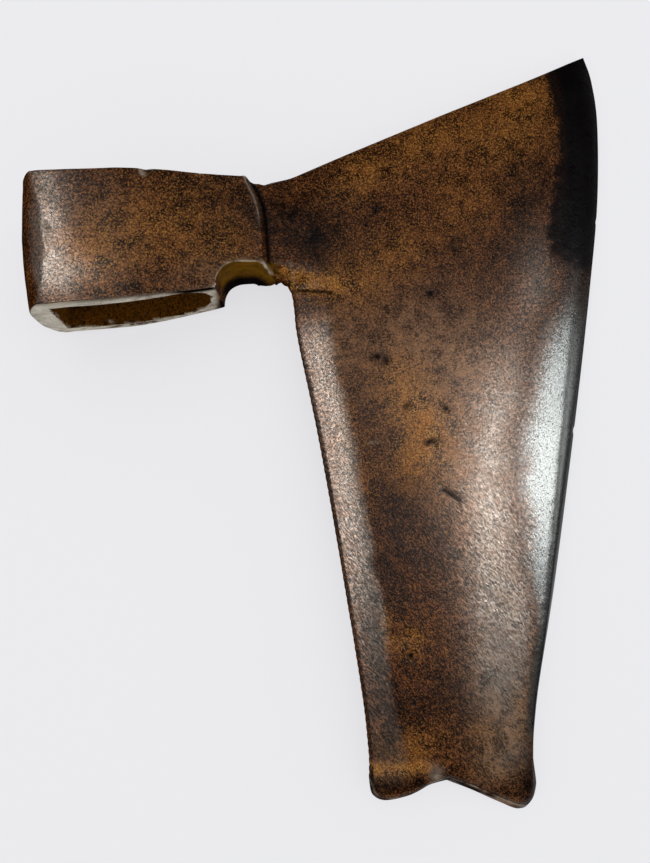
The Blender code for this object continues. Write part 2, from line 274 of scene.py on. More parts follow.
@dataclass
class Socket:
    """Box-like socket with its notch, shoulder and neck, in millimetres."""

    height: float = 45.6
    upper_slope: float = 0.028
    length: float = 76.5
    thickness: float = 43.2
    shoulder_thickness: float = 24.0
    parallel: float = 26.0
    dome: float = 5.2
    crown: float = 2.0
    wear: float = 3.2
    worn_depth: float = 1.7
    worn_length: float = 13.0
    lower_flat: float = 20.0
    lower_slope: float = 0.050
    lower_lift: float = 3.1
    notch_start: float = 59.0
    notch_reach: float = 9.0
    notch_top: float = 15.6
    notch_lean: float = 3.6
    notch_sag: float = 1.4
    step: float = 2.5
    run: float = 2.8
    back: float = 4.0
    neck_end: float = 81.5
    neck_top: float = 46.0
    neck_foot: float = 12.0
    neck_fade: float = 30.0
    neck_slope: float = 10.0
    neck_release: float = 0.6
    worn_ends: float = 0.25
    rows: int = 42
    columns: tuple = (60, 14, 9, 5, 2)

    def lower_line(self, x: Array) -> Array:
        """Height of the lower side: a flat, a square rise, a quarter round and a fall.

        Args:
            x: Distances from the poll.

        Returns:
            One height a distance.
        """
        curve = np.clip((x - self.lower_flat) / (self.notch_start - self.lower_flat), 0.0, None)
        face = self.lower_slope * x + self.lower_lift * curve ** 2
        start = self.lower_slope * self.notch_start + self.lower_lift
        turn = np.clip((self.notch_start + self.notch_reach - x) / self.notch_reach, 0.0, 1.0)
        notch = start + (self.notch_top - start) * np.sqrt(1.0 - turn ** 2)
        fall = ramp(x, self.length - self.step, self.neck_end)
        return np.where(x < self.notch_start, face, notch - (self.notch_top - self.neck_foot) * fall)

    def upper_line(self, x: Array) -> Array:
        """Height of the upper side: a slope, then a smooth step down to the neck."""
        face = self.height + self.upper_slope * x
        return face + (self.neck_top - face) * ease((x - self.length + self.back) / self.run)

    def ridge_line(self, y: Array) -> Array:
        """Distance of the shoulder ridge: straight, then run back by a square.

        Args:
            y: Heights over the lower corner.

        Returns:
            One distance a height.
        """
        middle = (self.notch_top + self.height) / 2
        rise = np.clip((y - middle) / (self.height - middle), 0.0, 1.0)
        return self.length - self.back * rise ** 2

    def stations(self) -> Array:
        """Distances of the columns: even on each stretch, but by angle round the notch.

        Returns:
            The distances, from the poll to the neck's end.
        """
        flat, notch, roof, step, neck = self.columns
        turn = np.linspace(0.0, np.pi / 2, notch + 1)[1:]
        knee = self.notch_start + self.notch_reach
        return np.concatenate([
            np.linspace(0.0, self.notch_start, flat + 1),
            self.notch_start + self.notch_reach * (1.0 - np.cos(turn)),
            np.linspace(knee, self.length, roof + 1)[1:],
            np.linspace(self.length, self.length + self.run, step + 1)[1:],
            np.linspace(self.length + self.run, self.neck_end, neck + 1)[1:]])

    def plan(self) -> Array:
        """Plan of the socket and neck, as rows from its top and columns from the poll.

        Returns:
            Grid of X and Y, each row a share of the way from the upper to the lower line,
            with the columns pulled back to the ridge and the crease hammered round.
        """
        base = self.stations()
        row = np.linspace(0.0, 1.0, self.rows + 1)[:, None]
        crest = self.height + self.upper_slope * base
        height = crest + (self.lower_line(base) - crest) * row
        pull = ease(base / self.length) ** 2
        pull *= 1.0 - self.neck_release * ramp(base, self.length, self.length + self.run)
        x = base - (self.length - self.ridge_line(height)) * pull
        wear = 4.0 * row * (1.0 - row) * (1.0 - ease(base / self.parallel))
        y = self.upper_line(x) + (self.lower_line(base) - self.upper_line(x)) * row
        return np.stack([x + self.wear * wear, y], axis=-1)

    def cheek(self, x: Array) -> Array:
        """Half thickness of the plain cheeks: parallel, then a smooth fall to the shoulder."""
        fall = ramp(x, self.parallel, self.length)
        return (self.thickness + (self.shoulder_thickness - self.thickness) * fall) / 2

    def half(self, x: Array) -> Array:
        """Half thickness: the plain cheeks, worn round at the poll and most at mid height.

        Args:
            x: The grid's distances from the poll.

        Returns:
            One half thickness a grid point.
        """
        rows = np.linspace(0.0, 1.0, len(x))[:, None]
        worn = self.worn_depth * (self.worn_ends + 4.0 * (1.0 - self.worn_ends) * rows * (1.0 - rows))
        return self.cheek(x) - worn * np.clip(1.0 - x / self.worn_length, 0.0, 1.0) ** 2


@dataclass
class Blade:
    """Blade with its long beard and fishtail, in millimetres."""

    reach: float = 222.4
    tip: float = 103.3
    depth: float = 197.8
    edge: tuple = ((0.000, 3.2), (0.035, 0.7), (0.097, 0.0), (0.207, 3.6), (0.326, 10.8),
                   (0.487, 21.8), (0.725, 39.4), (0.856, 50.6), (0.925, 54.3), (0.968, 53.8))
    inner: tuple = ((0.000, 88.5), (0.060, 89.1), (0.260, 94.3), (0.480, 98.6), (0.720, 102.8),
                    (0.840, 103.8), (0.900, 103.2))
    corner: tuple = ((85.6, 10.6), (87.9, 6.6))
    top: tuple = ((87.0, 49.1), (109.0, 58.8), (150.0, 75.5), (193.0, 92.4))
    left_lobe: tuple = ((104.6, 14.9), (109.5, 11.8), (119.0, 12.3), (127.0, 15.1))
    cleft: tuple = (133.5, 16.0)
    right_lobe: tuple = ((143.0, 10.9), (154.0, 4.2), (161.9, 0.0), (166.4, 1.4))
    root: float = 7.8
    face: float = 4.8
    edge_thickness: float = 0.7
    bevel: float = 12.0
    rim: float = 3.8
    rim_fall: float = 12.0
    rim_turn: float = 4.0
    rim_steepness: float = 2.0
    toe_curl: float = 3.0
    toe_curl_length: float = 24.0
    toe_bevel: float = 1.6
    toe_roll: float = 1.5
    toe_roll_length: float = 10.0
    rim_round: float = 0.55
    rim_power: float = 1.35
    toe_pull: float = 1.5
    edge_crowding: float = 0.06
    beard_rows: int = 198
    columns: int = 108

    def plan(self, neck_line: Array) -> Array:
        """Plan of the blade, as rows from its top and columns from its inner side.

        Args:
            neck_line: The last column of the socket's grid.

        Returns:
            Grid of X and Y: the blend of the four sides less the blend of the corners.
        """
        height = self.tip + self.depth
        edge = [(self.reach - inset, self.tip - share * height) for share, inset in self.edge]
        inner = [(x, -share * self.depth) for share, x in self.inner]
        beard = smooth_curve([tuple(neck_line[-1]), *self.corner, *inner], self.beard_rows + 1)
        left = np.vstack([neck_line, beard[1:]])
        right = smooth_curve(edge, len(left))
        top = smooth_curve([tuple(neck_line[0]), *self.top, edge[0]], 4 * self.columns)
        bottom = self.toe_line()
        share = np.linspace(0.0, 1.0, self.columns + 1)
        share = share + self.edge_crowding * np.sin(2.0 * np.pi * share) * share
        top, bottom = along(top, share), along(bottom, share)
        u = np.linspace(0.0, 1.0, len(left))[:, None, None]
        v = share[None, :, None]
        sides = (1.0 - v) * left[:, None] + v * right[:, None]
        ends = (1.0 - u) * top[None] + u * bottom[None]
        corners = ((1.0 - u) * ((1.0 - v) * left[0] + v * right[0])
                   + u * ((1.0 - v) * left[-1] + v * right[-1]))
        return sides + ends - corners

    def toe_line(self) -> Array:
        """Outline of the beard's end: two smooth lobes that meet in the cleft.

        Returns:
            Points from the inner corner to the cutting edge.
        """
        height = self.tip + self.depth
        start = (self.inner[-1][1], -self.inner[-1][0] * self.depth)
        end = (self.reach - self.edge[-1][1], self.tip - self.edge[-1][0] * height)
        lobes = [[(x, y - self.depth) for x, y in lobe] for lobe in (self.left_lobe, self.right_lobe)]
        cleft = (self.cleft[0], self.cleft[1] - self.depth)
        return np.vstack([smooth_curve([start, *lobes[0], cleft], 2 * self.columns),
                          smooth_curve([cleft, *lobes[1], end], 2 * self.columns)[1:]])

    def toe_gap(self, spots: Array) -> Array:
        """Distance in plan to the upper rim of the beard's end, or its reach if further.

        Args:
            spots: Points in the head's frame.

        Returns:
            One distance a point.
        """
        gap = np.full(len(spots), self.toe_roll_length)
        low = np.flatnonzero(spots[:, 1] < self.cleft[1] + self.toe_roll_length - self.depth)
        rim = self.toe_line() + np.array([0.0, self.toe_pull])
        away = spots[low, None, :2] - rim[None]
        gap[low] = np.minimum(gap[low], np.hypot(away[..., 0], away[..., 1]).min(axis=1))
        return gap

    def edge_gap(self, x: Array, y: Array) -> Array:
        """Distance along X to the cutting edge, by linear steps between its knots."""
        shares, insets = np.array(self.edge).T
        return self.reach - np.interp((self.tip - y) / (self.tip + self.depth), shares, insets) - x

    def inner_gap(self, x: Array, y: Array) -> Array:
        """Distance along X from the beard's inner side, by linear steps between its knots."""
        shares, places = np.array(self.inner).T
        return x - np.interp(y, -shares[::-1] * self.depth, places[::-1])

    def half(self, plan: Array, socket: Socket) -> Array:
        """Half thickness: a taper, a rounded edge bevel, the neck's stem and thin rims.

        Args:
            plan: The blade's grid.
            socket: The socket that the neck grows from.

        Returns:
            One half thickness a grid point.
        """
        across = np.linalg.norm(plan - plan[:, -1:], axis=-1)
        inward = np.linalg.norm(plan - plan[:, :1], axis=-1)
        down = np.linalg.norm(plan - plan[:1], axis=-1)
        core = (self.root + (self.face - self.root) * inward / (inward + across)) / 2
        bevel = 1.0 - (1.0 - np.clip(across / self.bevel, 0.0, 1.0)) ** 2
        core = self.edge_thickness / 2 + (core - self.edge_thickness / 2) * bevel
        half = self.stem(plan, core, plan[socket.rows:, 0], socket)
        beard = ease((socket.neck_foot - plan[:, :1, 1]) / self.rim_turn)
        crest = ease((plan[..., 0] - socket.neck_end) / self.rim_fall)
        for distance, weight in ((inward, beard), (down, crest)):
            near = (1.0 - np.clip(distance / self.rim_fall, 0.0, 1.0)) ** self.rim_power
            half = half * (1.0 - weight * (1.0 - self.rim / self.root) * near)
        return half

    def stem(self, plan: Array, core: Array, rim: Array, socket: Socket) -> Array:
        """Half thickness past the ridge: a step down, then a square fade into the blade.

        Args:
            plan: Grid of X and Y.
            core: Half thickness of the plain blade there.
            rim: The beard's inner side, where the neck's faces end.
            socket: The socket that the neck grows from.

        Returns:
            One half thickness a grid point, held under a slope from the inner rim.
        """
        ridge = socket.ridge_line(plan[..., 1])
        step = np.clip((plan[..., 0] - ridge) / socket.run, 0.0, 1.0)
        stem = socket.shoulder_thickness / 2 - socket.step * step
        fade = 1.0 - np.clip((plan[..., 0] - ridge - socket.run) / socket.neck_fade, 0.0, 1.0)
        body = ease((plan[..., 1] - socket.neck_foot + socket.neck_slope / 2) / socket.neck_slope)
        half = core + (stem - core) * fade ** 2 * body
        gap = np.min([np.hypot(plan[..., 0] - x, plan[..., 1] - y) for x, y in rim[::3]], axis=0)
        return np.minimum(half, self.rim / 2 + self.rim_steepness * gap)

    def middle(self, plan: Array) -> Array:
        """Height of the middle plane: flat, then bent down by a square at the toe."""
        past = -plan[..., 1] - (self.depth - self.toe_curl_length)
        return -self.toe_curl * np.clip(past / self.toe_curl_length, 0.0, None) ** 2

    def nearness(self, plan: Array) -> Array:
        """Square of the nearness to the toe's cut end, fading out towards the edge.

        Args:
            plan: The blade's grid.

        Returns:
            One share a grid point.
        """
        gap = np.linalg.norm(plan - plan[-1:], axis=-1)
        near = np.clip(1.0 - gap / self.toe_roll_length, 0.0, 1.0) ** 2
        across = np.linalg.norm(plan - plan[:, -1:], axis=-1)
        return near * ease(across / self.toe_roll_length)


@dataclass
class Eye:
    """Handle's eye, square at the poll and round at its front, in millimetres."""

    wall: float = 3.0
    length: float = 54.3
    width: float = 29.0
    belly: float = 2.5
    belly_share: float = 0.8
    tip: float = 13.0
    tip_power: float = 0.8
    straight_steps: int = 42
    round_steps: int = 21
    step: float = 1.0
    overshoot: float = 14.0
    roughness: float = 0.22
    fray: float = 0.55

    def outline(self) -> Array:
        """Outline of the eye in X and Z: straight sides, a bellied one, and a round tip.

        Returns:
            Points at even distances round the eye.
        """
        end = self.wall + self.length
        turn = np.linspace(np.pi / 2, 0.0, self.round_steps + 1)[1:]
        straight = np.linspace(self.wall, end - self.tip, self.straight_steps)
        x = np.concatenate([straight, end - self.tip * (1.0 - np.cos(turn))])
        width = np.concatenate([np.ones(self.straight_steps), np.sin(turn) ** self.tip_power])
        width *= self.width / 2
        reach = self.length * self.belly_share
        belly = self.belly * np.sin(np.pi * np.clip((x - self.wall) / reach, 0.0, 1.0))
        upper = np.stack([x, width], axis=-1)
        lower = np.stack([x, -width - belly], axis=-1)[-2::-1]
        path = np.vstack([upper, lower, upper[:1]])
        length = np.linalg.norm(np.diff(path, axis=0), axis=1).sum()
        return along(path, np.linspace(0.0, 1.0, int(length / self.step), endpoint=False))

    def cutter(self, socket: Socket) -> Thing:
        """Rough prism through the socket, which cuts the eye with its rusted walls.

        Args:
            socket: The socket that the eye goes through.

        Returns:
            The cutter's object, in the head's frame.
        """
        ring = self.outline()
        heights = np.arange(-self.overshoot, socket.height + self.overshoot, self.step * 1.1)
        spots = np.zeros((len(heights), len(ring), 3))
        spots[..., 0], spots[..., 2] = ring[:, 0], ring[:, 1]
        spots[..., 1] = heights[:, None]
        outward = -right_of(ring)
        points = spots.reshape(-1, 3)
        wave = self.roughness * (value_noise(points, 5.0, 31, 2) + 0.6 * value_noise(points, 2.2, 37))
        under = ease((-points[:, 2] - self.width / 4) / 4.0) * (1.0 - ramp(points[:, 1], 1.0, 6.0))
        wave += self.fray * under * value_noise(points, 2.6, 41)
        spots[..., 0] += wave.reshape(spots.shape[:2]) * outward[:, 0]
        spots[..., 2] += wave.reshape(spots.shape[:2]) * outward[:, 1]
        index = np.arange(len(points)).reshape(spots.shape[:2])
        low, high = index[:-1], index[1:]
        walls = np.stack([low, np.roll(low, -1, 1), np.roll(high, -1, 1), high], axis=-1).reshape(-1, 4)
        caps = [index[0, ::-1].tolist(), index[-1].tolist()]
        cutter = add_object("eye_cutter", points, walls.tolist() + caps)
        cutter.data.polygons.foreach_set("material_index", np.ones(len(walls) + 2, dtype=np.int32))
        return cutter


@dataclass
class Relief:
    """Forging marks, wear and corrosion, as heights in millimetres along the normal.

    A spot's row gives its x, y, radius, depth, stretch and turn, and a stroke's its two
    ends, half width and depth.
    """

    broad_size: float = 19.0
    close_size: float = 9.0
    crinkle_size: float = 2.6
    crease_size: float = 4.2
    blade_hammering: float = 0.16
    cheek_hammering: float = 0.14
    crease_hammering: float = 0.42
    crinkle: float = 0.035
    ridge_lip: float = 0.22
    ridge_groove: float = 0.55
    pits: tuple = marks(
        (118.3, -19.9, 1.1, 0.35), (121.7, -21.6, 1, 0.3), (116.2, -21, 0.9, 0.2),
        (141.9, 3.8, 0.9, 0.28), (128.9, -39.4, 1.3, 0.35, 1.5, 20), (144.3, -41.5, 1.2, 0.35, 1.4, -40),
        (139.6, -53.6, 1.2, 0.4, 2.4, 10), (131.5, -44.5, 1, 0.25), (121.9, -133.3, 1.5, 0.4),
        (121.9, -127.3, 2.2, 0.22, 1.6, 10), (114.5, -126, 1.6, 0.18), (122.2, 36.4, 1.2, 0.2),
        (6.4, 26.5, 1.7, 0.3), (136, -48, 1.1, 0.25, 1.5, 60))
    gouges: tuple = marks(
        ((140.6, -72.9), (146.2, -77.1), 1, 0.32), ((141.5, -74.8), (147.4, -79.6), 0.8, -0.16),
        ((152.0, -112.0), (156.5, -116.0), 0.9, 0.1), ((158.0, -119.0), (163.0, -122.0), 0.8, 0.08),
        ((90.5, 7.1), (103.2, 5.4), 0.55, 0.45))
    scale_patch: Spot = Spot(135.0, -48.0, 10.0, 1.0, 1.9, -62.0)
    scale_depth: float = 0.18
    chip: tuple = (38.2, 46.6, 21.6)
    chip_radius: float = 1.5
    chip_depth: float = 1.2
    nicks: tuple = ((216.5, 32.4), (198.3, -53.5), (167.4, -176.4))
    nick_radius: float = 1.1
    nick_depth: float = 0.7
    nicked_below: float = 1.2
    calm: Spot = Spot(84.0, 10.0, 6.5)
    full_above: float = 2.6

    def height(self, spots: Array, normals: Array, thickness: Array, socket: Socket) -> Array:
        """Height of the relief: noise in layers for the hammering, less the bells of the marks.

        Args:
            spots: Points in the head's frame.
            normals: The surface's normals there.
            thickness: Half thickness of the head there, which limits the relief.
            socket: The socket, for the shoulder ridge.

        Returns:
            One height a point, positive outwards.
        """
        x, y = spots[:, 0], spots[:, 1]
        on_blade = ramp(x, socket.neck_end - 6.0, socket.neck_end + 18.0)
        broad = value_noise(spots, self.broad_size, 3, 2) * self.blade_hammering
        close = value_noise(spots, self.close_size, 7, 2) * self.cheek_hammering
        height = on_blade * broad + (1.0 - on_blade) * close
        height += value_noise(spots, self.crinkle_size, 11, 2) * self.crinkle
        height += bell(x - 1.6, 5.0) * self.crease_hammering * value_noise(spots, self.crease_size, 13, 2)
        upper = ramp(normals[:, 2], 0.0, 0.5)
        height -= upper * (marked(spots, self.pits, np.inf) + marked(spots, self.gouges, np.inf))
        patch = self.scale_depth * upper * np.clip(self.scale_patch.weight(spots) * 1.6, 0.0, 1.0)
        height += patch * (np.abs(value_noise(spots, 2.8, 17, 2)) - 0.3)
        past = x - socket.ridge_line(y)
        faces = ease(np.abs(normals[:, 2]) * 1.6)
        height += faces * self.ridge_lip * bell(past + 0.2, 0.6)
        height -= faces * self.ridge_groove * bell(past - socket.run, 0.8)
        gap = np.linalg.norm(spots - np.array(self.chip), axis=1)
        height -= self.chip_depth * bell(gap, self.chip_radius)
        return height * np.clip(thickness / self.full_above, 0.06, 1.0) * (1.0 - self.calm.weight(spots))

    def outline_shift(self, spots: Array, thickness: Array) -> Array:
        """Shift of X that notches the cutting edge with a bell a nick, thin parts only.

        Args:
            spots: Points in the head's frame.
            thickness: Half thickness of the head there.

        Returns:
            One shift a point.
        """
        shift = np.zeros(len(spots))
        for x, y in self.nicks:
            shift -= self.nick_depth * bell(np.hypot(spots[:, 0] - x, spots[:, 1] - y), self.nick_radius)
        return shift * (1.0 - np.clip(thickness / self.nicked_below, 0.0, 1.0))


@dataclass
class Surface:
    """The head's points in its own frame, in millimetres, with what the masks read there."""

    spots: Array
    normals: Array
    sharpness: Array
    inside: Array

    @property
    def upper(self) -> Array:
        """1 on the upper face, 0 on the sides and below."""
        return ramp(self.normals[:, 2], 0.0, 0.5)

    def noise(self, size: float, seed: int, octaves: int = 2) -> Array:
        """Value noise at the points."""
        return value_noise(self.spots, size, seed, octaves)


@dataclass(frozen=True)
class Wear:
    """Where the finish and its painted light and shade change over the head, as masks from 0 to 1 on its
    points.

    A spot's row gives its x, y, radius, strength, stretch and turn, and a stroke's its two
    ends, half width and strength. Most masks are ramps between two places on the head.
    """

    # Golden rust; the stroke along the toe's ridge is a painted highlight, and the band under the neck is
    # partly painted light on its slope.
    golden: tuple = marks(
        (92, 9.8, 3.6, 1.6, 2.6, -8), (101, 8.5, 4, 1, 1.8), (112, 10, 12, 0.5),
        (118, 51, 8, 0.6, 1.5, 25), (146, 66, 10, 0.5, 1.8, 25), (188, 84, 11, 0.6, 1.4, 25),
        (180, 66, 12, 0.4, 1.6, 10), (134, -47, 10, 0.95, 1.5, -62), (128, -62, 9, 0.6),
        (126, -26, 10, 0.5), (133, 20, 12, 0.4), (112.5, -122, 3, 0.9, 2.2, 80),
        (122, -127, 4, 0.9, 1.6, 10), (122, -133, 3, 0.6), (118, -166, 6, 0.6, 1.8),
        (150, -164, 6, 0.5), (163.3, -155.8, 3, 0.8), ((104, -172.6), (123, -174.4), 2.4, 1.2),
        ((84, 12.4), (103, 8.6), 2.4, 1.2), (46, 28, 14, 0.6, 1.4, 20), (20, 18, 12, 0.45),
        (66, 22, 8, 0.4), (160, 40, 16, 0.3), (108, -60, 5, 0.3, 4, -80))
    # Soot, and painted shade: the stroke along the toe's downturned band paints its shade.
    soot_and_shade: tuple = marks(
        (86, 34, 12, 0.6, 1.2), (98, 24, 11, 0.7, 1.5, -60), (62, 34, 15, 0.45, 1.4),
        (112, 36, 12, 0.3), (140, -96, 9, 0.6, 1.5, -60), (119, -92, 9, 0.65, 2.4, 82),
        (110.5, -165, 5, 0.5, 1.4), ((103, -178.6), (121.5, -179.6), 2.9, 1),
        (164.5, -189, 3.6, 0.9), (132.3, -180.2, 1.6, 0.9), (146.5, 59.2, 2.2, 0.7),
        (122.6, 37.6, 1.6, 0.9), (119.8, -20.5, 3, 0.8), (152, 18, 10, 0.3, 1.6, 30),
        (136, -148, 14, 0.3), (141.9, 3.8, 1.6, 0.8), (185, 38, 13, 0.5, 2, 75),
        (110, -128, 4, 0.5, 3, 85), (112, -150, 10, 0.5, 1.6, 85))
    # Dust, and painted sheen: the broad spots on the blade's middle, the lower beard and the toe's lobes
    # paint the sheen there.
    dust_and_sheen: tuple = marks(
        (132, -16, 20, 0.55, 1.3, 30), (150, -28, 20, 0.5), (24, 24, 15, 0.4),
        (134, -48, 9, 0.5, 1.6, -60), (128.2, -177.4, 2.2, 1.2), (156.5, -173, 6.5, 1.6, 1.6, 30),
        ((104, -173), (125, -174.6), 2.2, 1.3), (158, -158, 11, 1.3, 1.8, 84),
        (146, -78, 16, 0.45, 1.8, -60), (60, 10.5, 6, 0.5, 2.2, 10), (104, -12, 9, 0.4, 1.8, 80),
        (156, -122, 14, 0.3, 1.4, 80))
    # Polish with a painted sheen: partly metallic places whose grey coat paints the sheen round the
    # highlights and on the poll's crease.
    burnish_and_sheen: tuple = marks(
        (169, -58, 21, 1.1, 2.2, 77), (163, -112, 15, 1.1, 2.4, 80), (157.5, -146, 11, 0.65, 2, 84),
        (188, 8, 10, 0.5, 2, 80), (5, 28, 9, 0.85, 3, 90), (8, 10.5, 7, 0.6, 2),
        (158, -176, 5, 0.4, 1.3, 20), (128.2, -177.4, 2.5, 1), (136, -30, 26, 0.12))
    black_marks: tuple = marks(
        ((89.5, 7.0), (103.2, 5.4), 0.65), ((80.6, 14.4), (83.5, 12.4), 0.6),
        (118.3, -19.9, 1.3, 1.3), (121.9, -21.8, 1.2, 1.3, 1.5, 70), (115.8, -21, 0.9, 0.9),
        (122.4, 37, 1.2, 1.1), (141.9, 3.8, 1.2, 1.1), (136.7, -53.9, 1.1, 1.2, 2.4, 12),
        (144.3, -41.5, 1.1, 1, 1.6, -40), (128.9, -39.4, 1.1, 0.9, 1.6, 20), (122, -133.4, 1.2, 1.2),
        ((140.6, -72.9), (146.5, -77.4), 0.6, 0.9), (134, -50, 1, 0.4), (156, 25, 1.3, 0.5, 1.6, 30))
    # Pale marks: a chip, scratches and a worn streak, and painted glints near the cutting edge.
    pale: tuple = marks(
        (36.9, 45, 0.9, 0.7), (128.2, -178.6, 1, 0.5), ((214.6, 88.0), (214.2, 64.0), 0.6, 0.22),
        ((210.0, 44.0), (210.6, 40.0), 0.6, 0.5), ((112.2, -52.6), (116.6, -52.9), 0.4, 0.22),
        ((87.9, 16.4), (88.9, 8.6), 0.4, 0.26))
    strip_width: float = 14.0
    strip_strength: float = 0.85
    # The black zone along the upper edge is black scale and partly a painted dark reflection.
    dark_zone_above: float = 11.0
    dark_zone_width: float = 22.0
    # Strength of the painted dark reflection along the edge's bevel.
    dark_reflection_strength: float = 0.65
    polished_band: tuple = ((103.0, 16.0), (20.0, 17.0), (0.0, 20.0), (-60.0, 20.0),
                            (-105.0, 14.0), (-130.0, 6.0), (-190.0, 4.0))
    haze: Spot = Spot(172.0, -62.0, 28.0, 0.45, 1.8, 77.0)
    # Painted highlight lines, partly real wear: the notch's rim, the toe's rim and the shoulder ridge's
    # upper half.
    notch_arris: float = 0.62
    rim_line: float = 0.42
    ridge_and_rim: float = 0.4
    dark_zone_black: float = 0.93
    # Painted shade: the toe's cut end, the side faces and the poll face are darkened by how they face.
    cut_end_shade: float = 0.7
    flank_shade: float = 0.35
    poll_shade: float = 0.4

    def masks(self, surface: Surface, blade: Blade, socket: Socket) -> dict[str, Array]:
        """Masks for the finish and its painted light and shade, from bells, distances to the edge and the
        surface's bend.

        Args:
            surface: The head's points.
            blade: The blade, for its edge and rims.
            socket: The socket, for its lower face and notch.

        Returns:
            Name and values of each mask.
        """
        spots = surface.spots
        x, y = spots[:, 0], spots[:, 1]
        facing, upper, inside = surface.normals[:, 2], surface.upper, surface.inside
        drift = surface.noise(11.0, 51, 3)
        scale_and_dark_reflection, edge_dark_reflection, bare = self.along_edge(surface, blade.edge_gap(x, y), drift)
        strip = self.beard_strip(y, blade.inner_gap(x, y), drift)
        # Polish with a painted sheen: the marked spots and the beard's strip.
        burnish_and_sheen = marked(spots, self.burnish_and_sheen, np.inf) + strip
        burnish_and_sheen = np.clip(burnish_and_sheen, 0.0, 1.0) * ramp(facing, 0.6, 0.85)
        lower_face, roof, soot_and_shade_black, paler_places = self.under_socket(surface, socket)
        past = x - socket.ridge_line(y)
        # Painted dark: the groove behind the shoulder, black pits and cracks, the black zone and painted
        # dark reflections along the edge, black and painted shade under the socket, and the toe's cut end in
        # painted shade.
        black_marks_and_painted_dark = bell(past - socket.run, 1.1) * ramp(y, socket.neck_top + 2.0, socket.neck_top - 2.0)
        black_marks_and_painted_dark += marked(spots, self.black_marks, np.inf) * upper + self.dark_zone_black * scale_and_dark_reflection + edge_dark_reflection
        toe_gap = blade.toe_gap(spots)
        end = ease(3.0 * ramp(toe_gap, blade.toe_roll_length, 0.0)) * ramp(np.abs(facing), 0.75, 0.55)
        golden_end = ease(surface.noise(5.0, 67) * 1.4 + 0.3)
        black_marks_and_painted_dark += soot_and_shade_black + self.cut_end_shade * end * (1.0 - golden_end)
        black_marks_and_painted_dark = np.clip(black_marks_and_painted_dark, 0.0, 1.0)
        # Painted highlight lines on the notch's rim and the toe's rim, partly wear on those arrises.
        at_notch = ramp(x, socket.notch_start - 2.0, socket.notch_start)
        at_notch *= ramp(x, socket.neck_end, socket.neck_end - 2.0)
        at_notch *= ramp(y - socket.lower_line(x), 1.8, 1.0)
        arris = at_notch * bell(facing - self.notch_arris, 0.24)
        arris += self.ridge_and_rim * bell(toe_gap, self.rim_line) * ramp(facing, 0.3, 0.6)
        # The worn mask is wear on sharp arrises with painted highlight lines: the notch's and toe's rims,
        # the shoulder ridge's upper half, the glints among the pale marks.
        worn = ramp(surface.sharpness, 0.06, 0.22) * ramp(x, socket.length, socket.length - 2.0)
        worn = worn * ramp(x, 5.0, 10.0) + arris * ease(surface.noise(3.0, 61) * 1.6 + 0.75)
        worn += self.ridge_and_rim * bell(past + 0.1, 0.26) * upper * ramp(y, 26.0, 34.0)
        worn += marked(spots, self.pale) * upper + paler_places
        # Painted shade on the side faces and the poll face, darkened by how they face.
        flank = 1.0 - ramp(np.abs(facing), 0.0, 0.7)
        rough = (flank + ramp(x, 4.5, 1.5)) * (1.0 - lower_face) * (1.0 - burnish_and_sheen)
        soot_and_shade = marked(spots, self.soot_and_shade) * upper + self.cut_end_shade * end
        soot_and_shade += self.flank_shade * flank + self.poll_shade * ramp(x, 0.5, -2.5)
        golden = marked(spots, self.golden, 1.3) * upper
        return {"bare": bare * (1.0 - scale_and_dark_reflection), "burnish_and_sheen": burnish_and_sheen * (1.0 - bare) * (1.0 - scale_and_dark_reflection),
                "golden": np.maximum(golden, golden_end * end),
                "dust_and_sheen": marked(spots, self.dust_and_sheen) * upper,
                "soot_and_shade": np.clip(soot_and_shade, 0.0, 1.0),
                "cleaned_and_painted_light": lower_face * (1.0 - inside) * (1.0 - black_marks_and_painted_dark), "black_marks_and_painted_dark": black_marks_and_painted_dark,
                "roof": roof, "inside": inside, "stretch": ramp(y, -40.0, -100.0),
                "worn": np.clip(worn, 0.0, 1.0) * (1.0 - scale_and_dark_reflection),
                "sunk": ramp(surface.sharpness, -0.03, -0.15),
                "dull": np.clip(inside + roof + rough + black_marks_and_painted_dark - scale_and_dark_reflection - edge_dark_reflection, 0.0, 1.0)}

    def along_edge(self, surface: Surface, to_edge: Array, drift: Array) -> tuple[Array, Array, Array]:
        """Black zone and steel along the cutting edge: black scale with a painted dark reflection near the
        tip, polished below it.

        Args:
            surface: The head's points.
            to_edge: Distance to the cutting edge at each.
            drift: Broad noise that makes the borders ragged.

        Returns:
            The masks of the black zone, of the painted dark reflection along the edge and of the bare steel.
        """
        x, y = surface.spots[:, 0], surface.spots[:, 1]
        ragged = 5.0 * drift + 3.0 * surface.noise(2.6, 73)
        scale_and_dark_reflection = ramp(self.dark_zone_width + ragged - to_edge, 0.0, 3.5)
        ragged = 8.0 * drift + 5.0 * surface.noise(3.2, 79)
        scale_and_dark_reflection *= ramp(y - self.dark_zone_above + ragged, 0.0, 12.0) * ramp(x, 150.0, 170.0)
        # Painted dark reflection on the steep bevel along the edge, wider above the highlight.
        line = ramp(to_edge, 7.0, 4.0)
        edge_dark_reflection = np.maximum(ramp(y, -24.0, -8.0) * ramp(to_edge, 16.0, 10.0), line)
        edge_dark_reflection *= self.dark_reflection_strength * ramp(x, 140.0, 160.0)
        heights, widths = np.array(self.polished_band)[::-1].T
        wide = np.interp(y, heights, widths) * (1.0 + self.haze.weight(surface.spots))
        bare = ease((1.5 - to_edge / wide) / 1.25 + 0.1 * drift) * ramp(x, 120.0, 140.0)
        bare *= (0.5 + 0.5 * ramp(y, 8.0, -22.0)) * (1.0 - 0.2 * line) * ramp(y, -178.0, -164.0)
        return scale_and_dark_reflection, edge_dark_reflection, bare

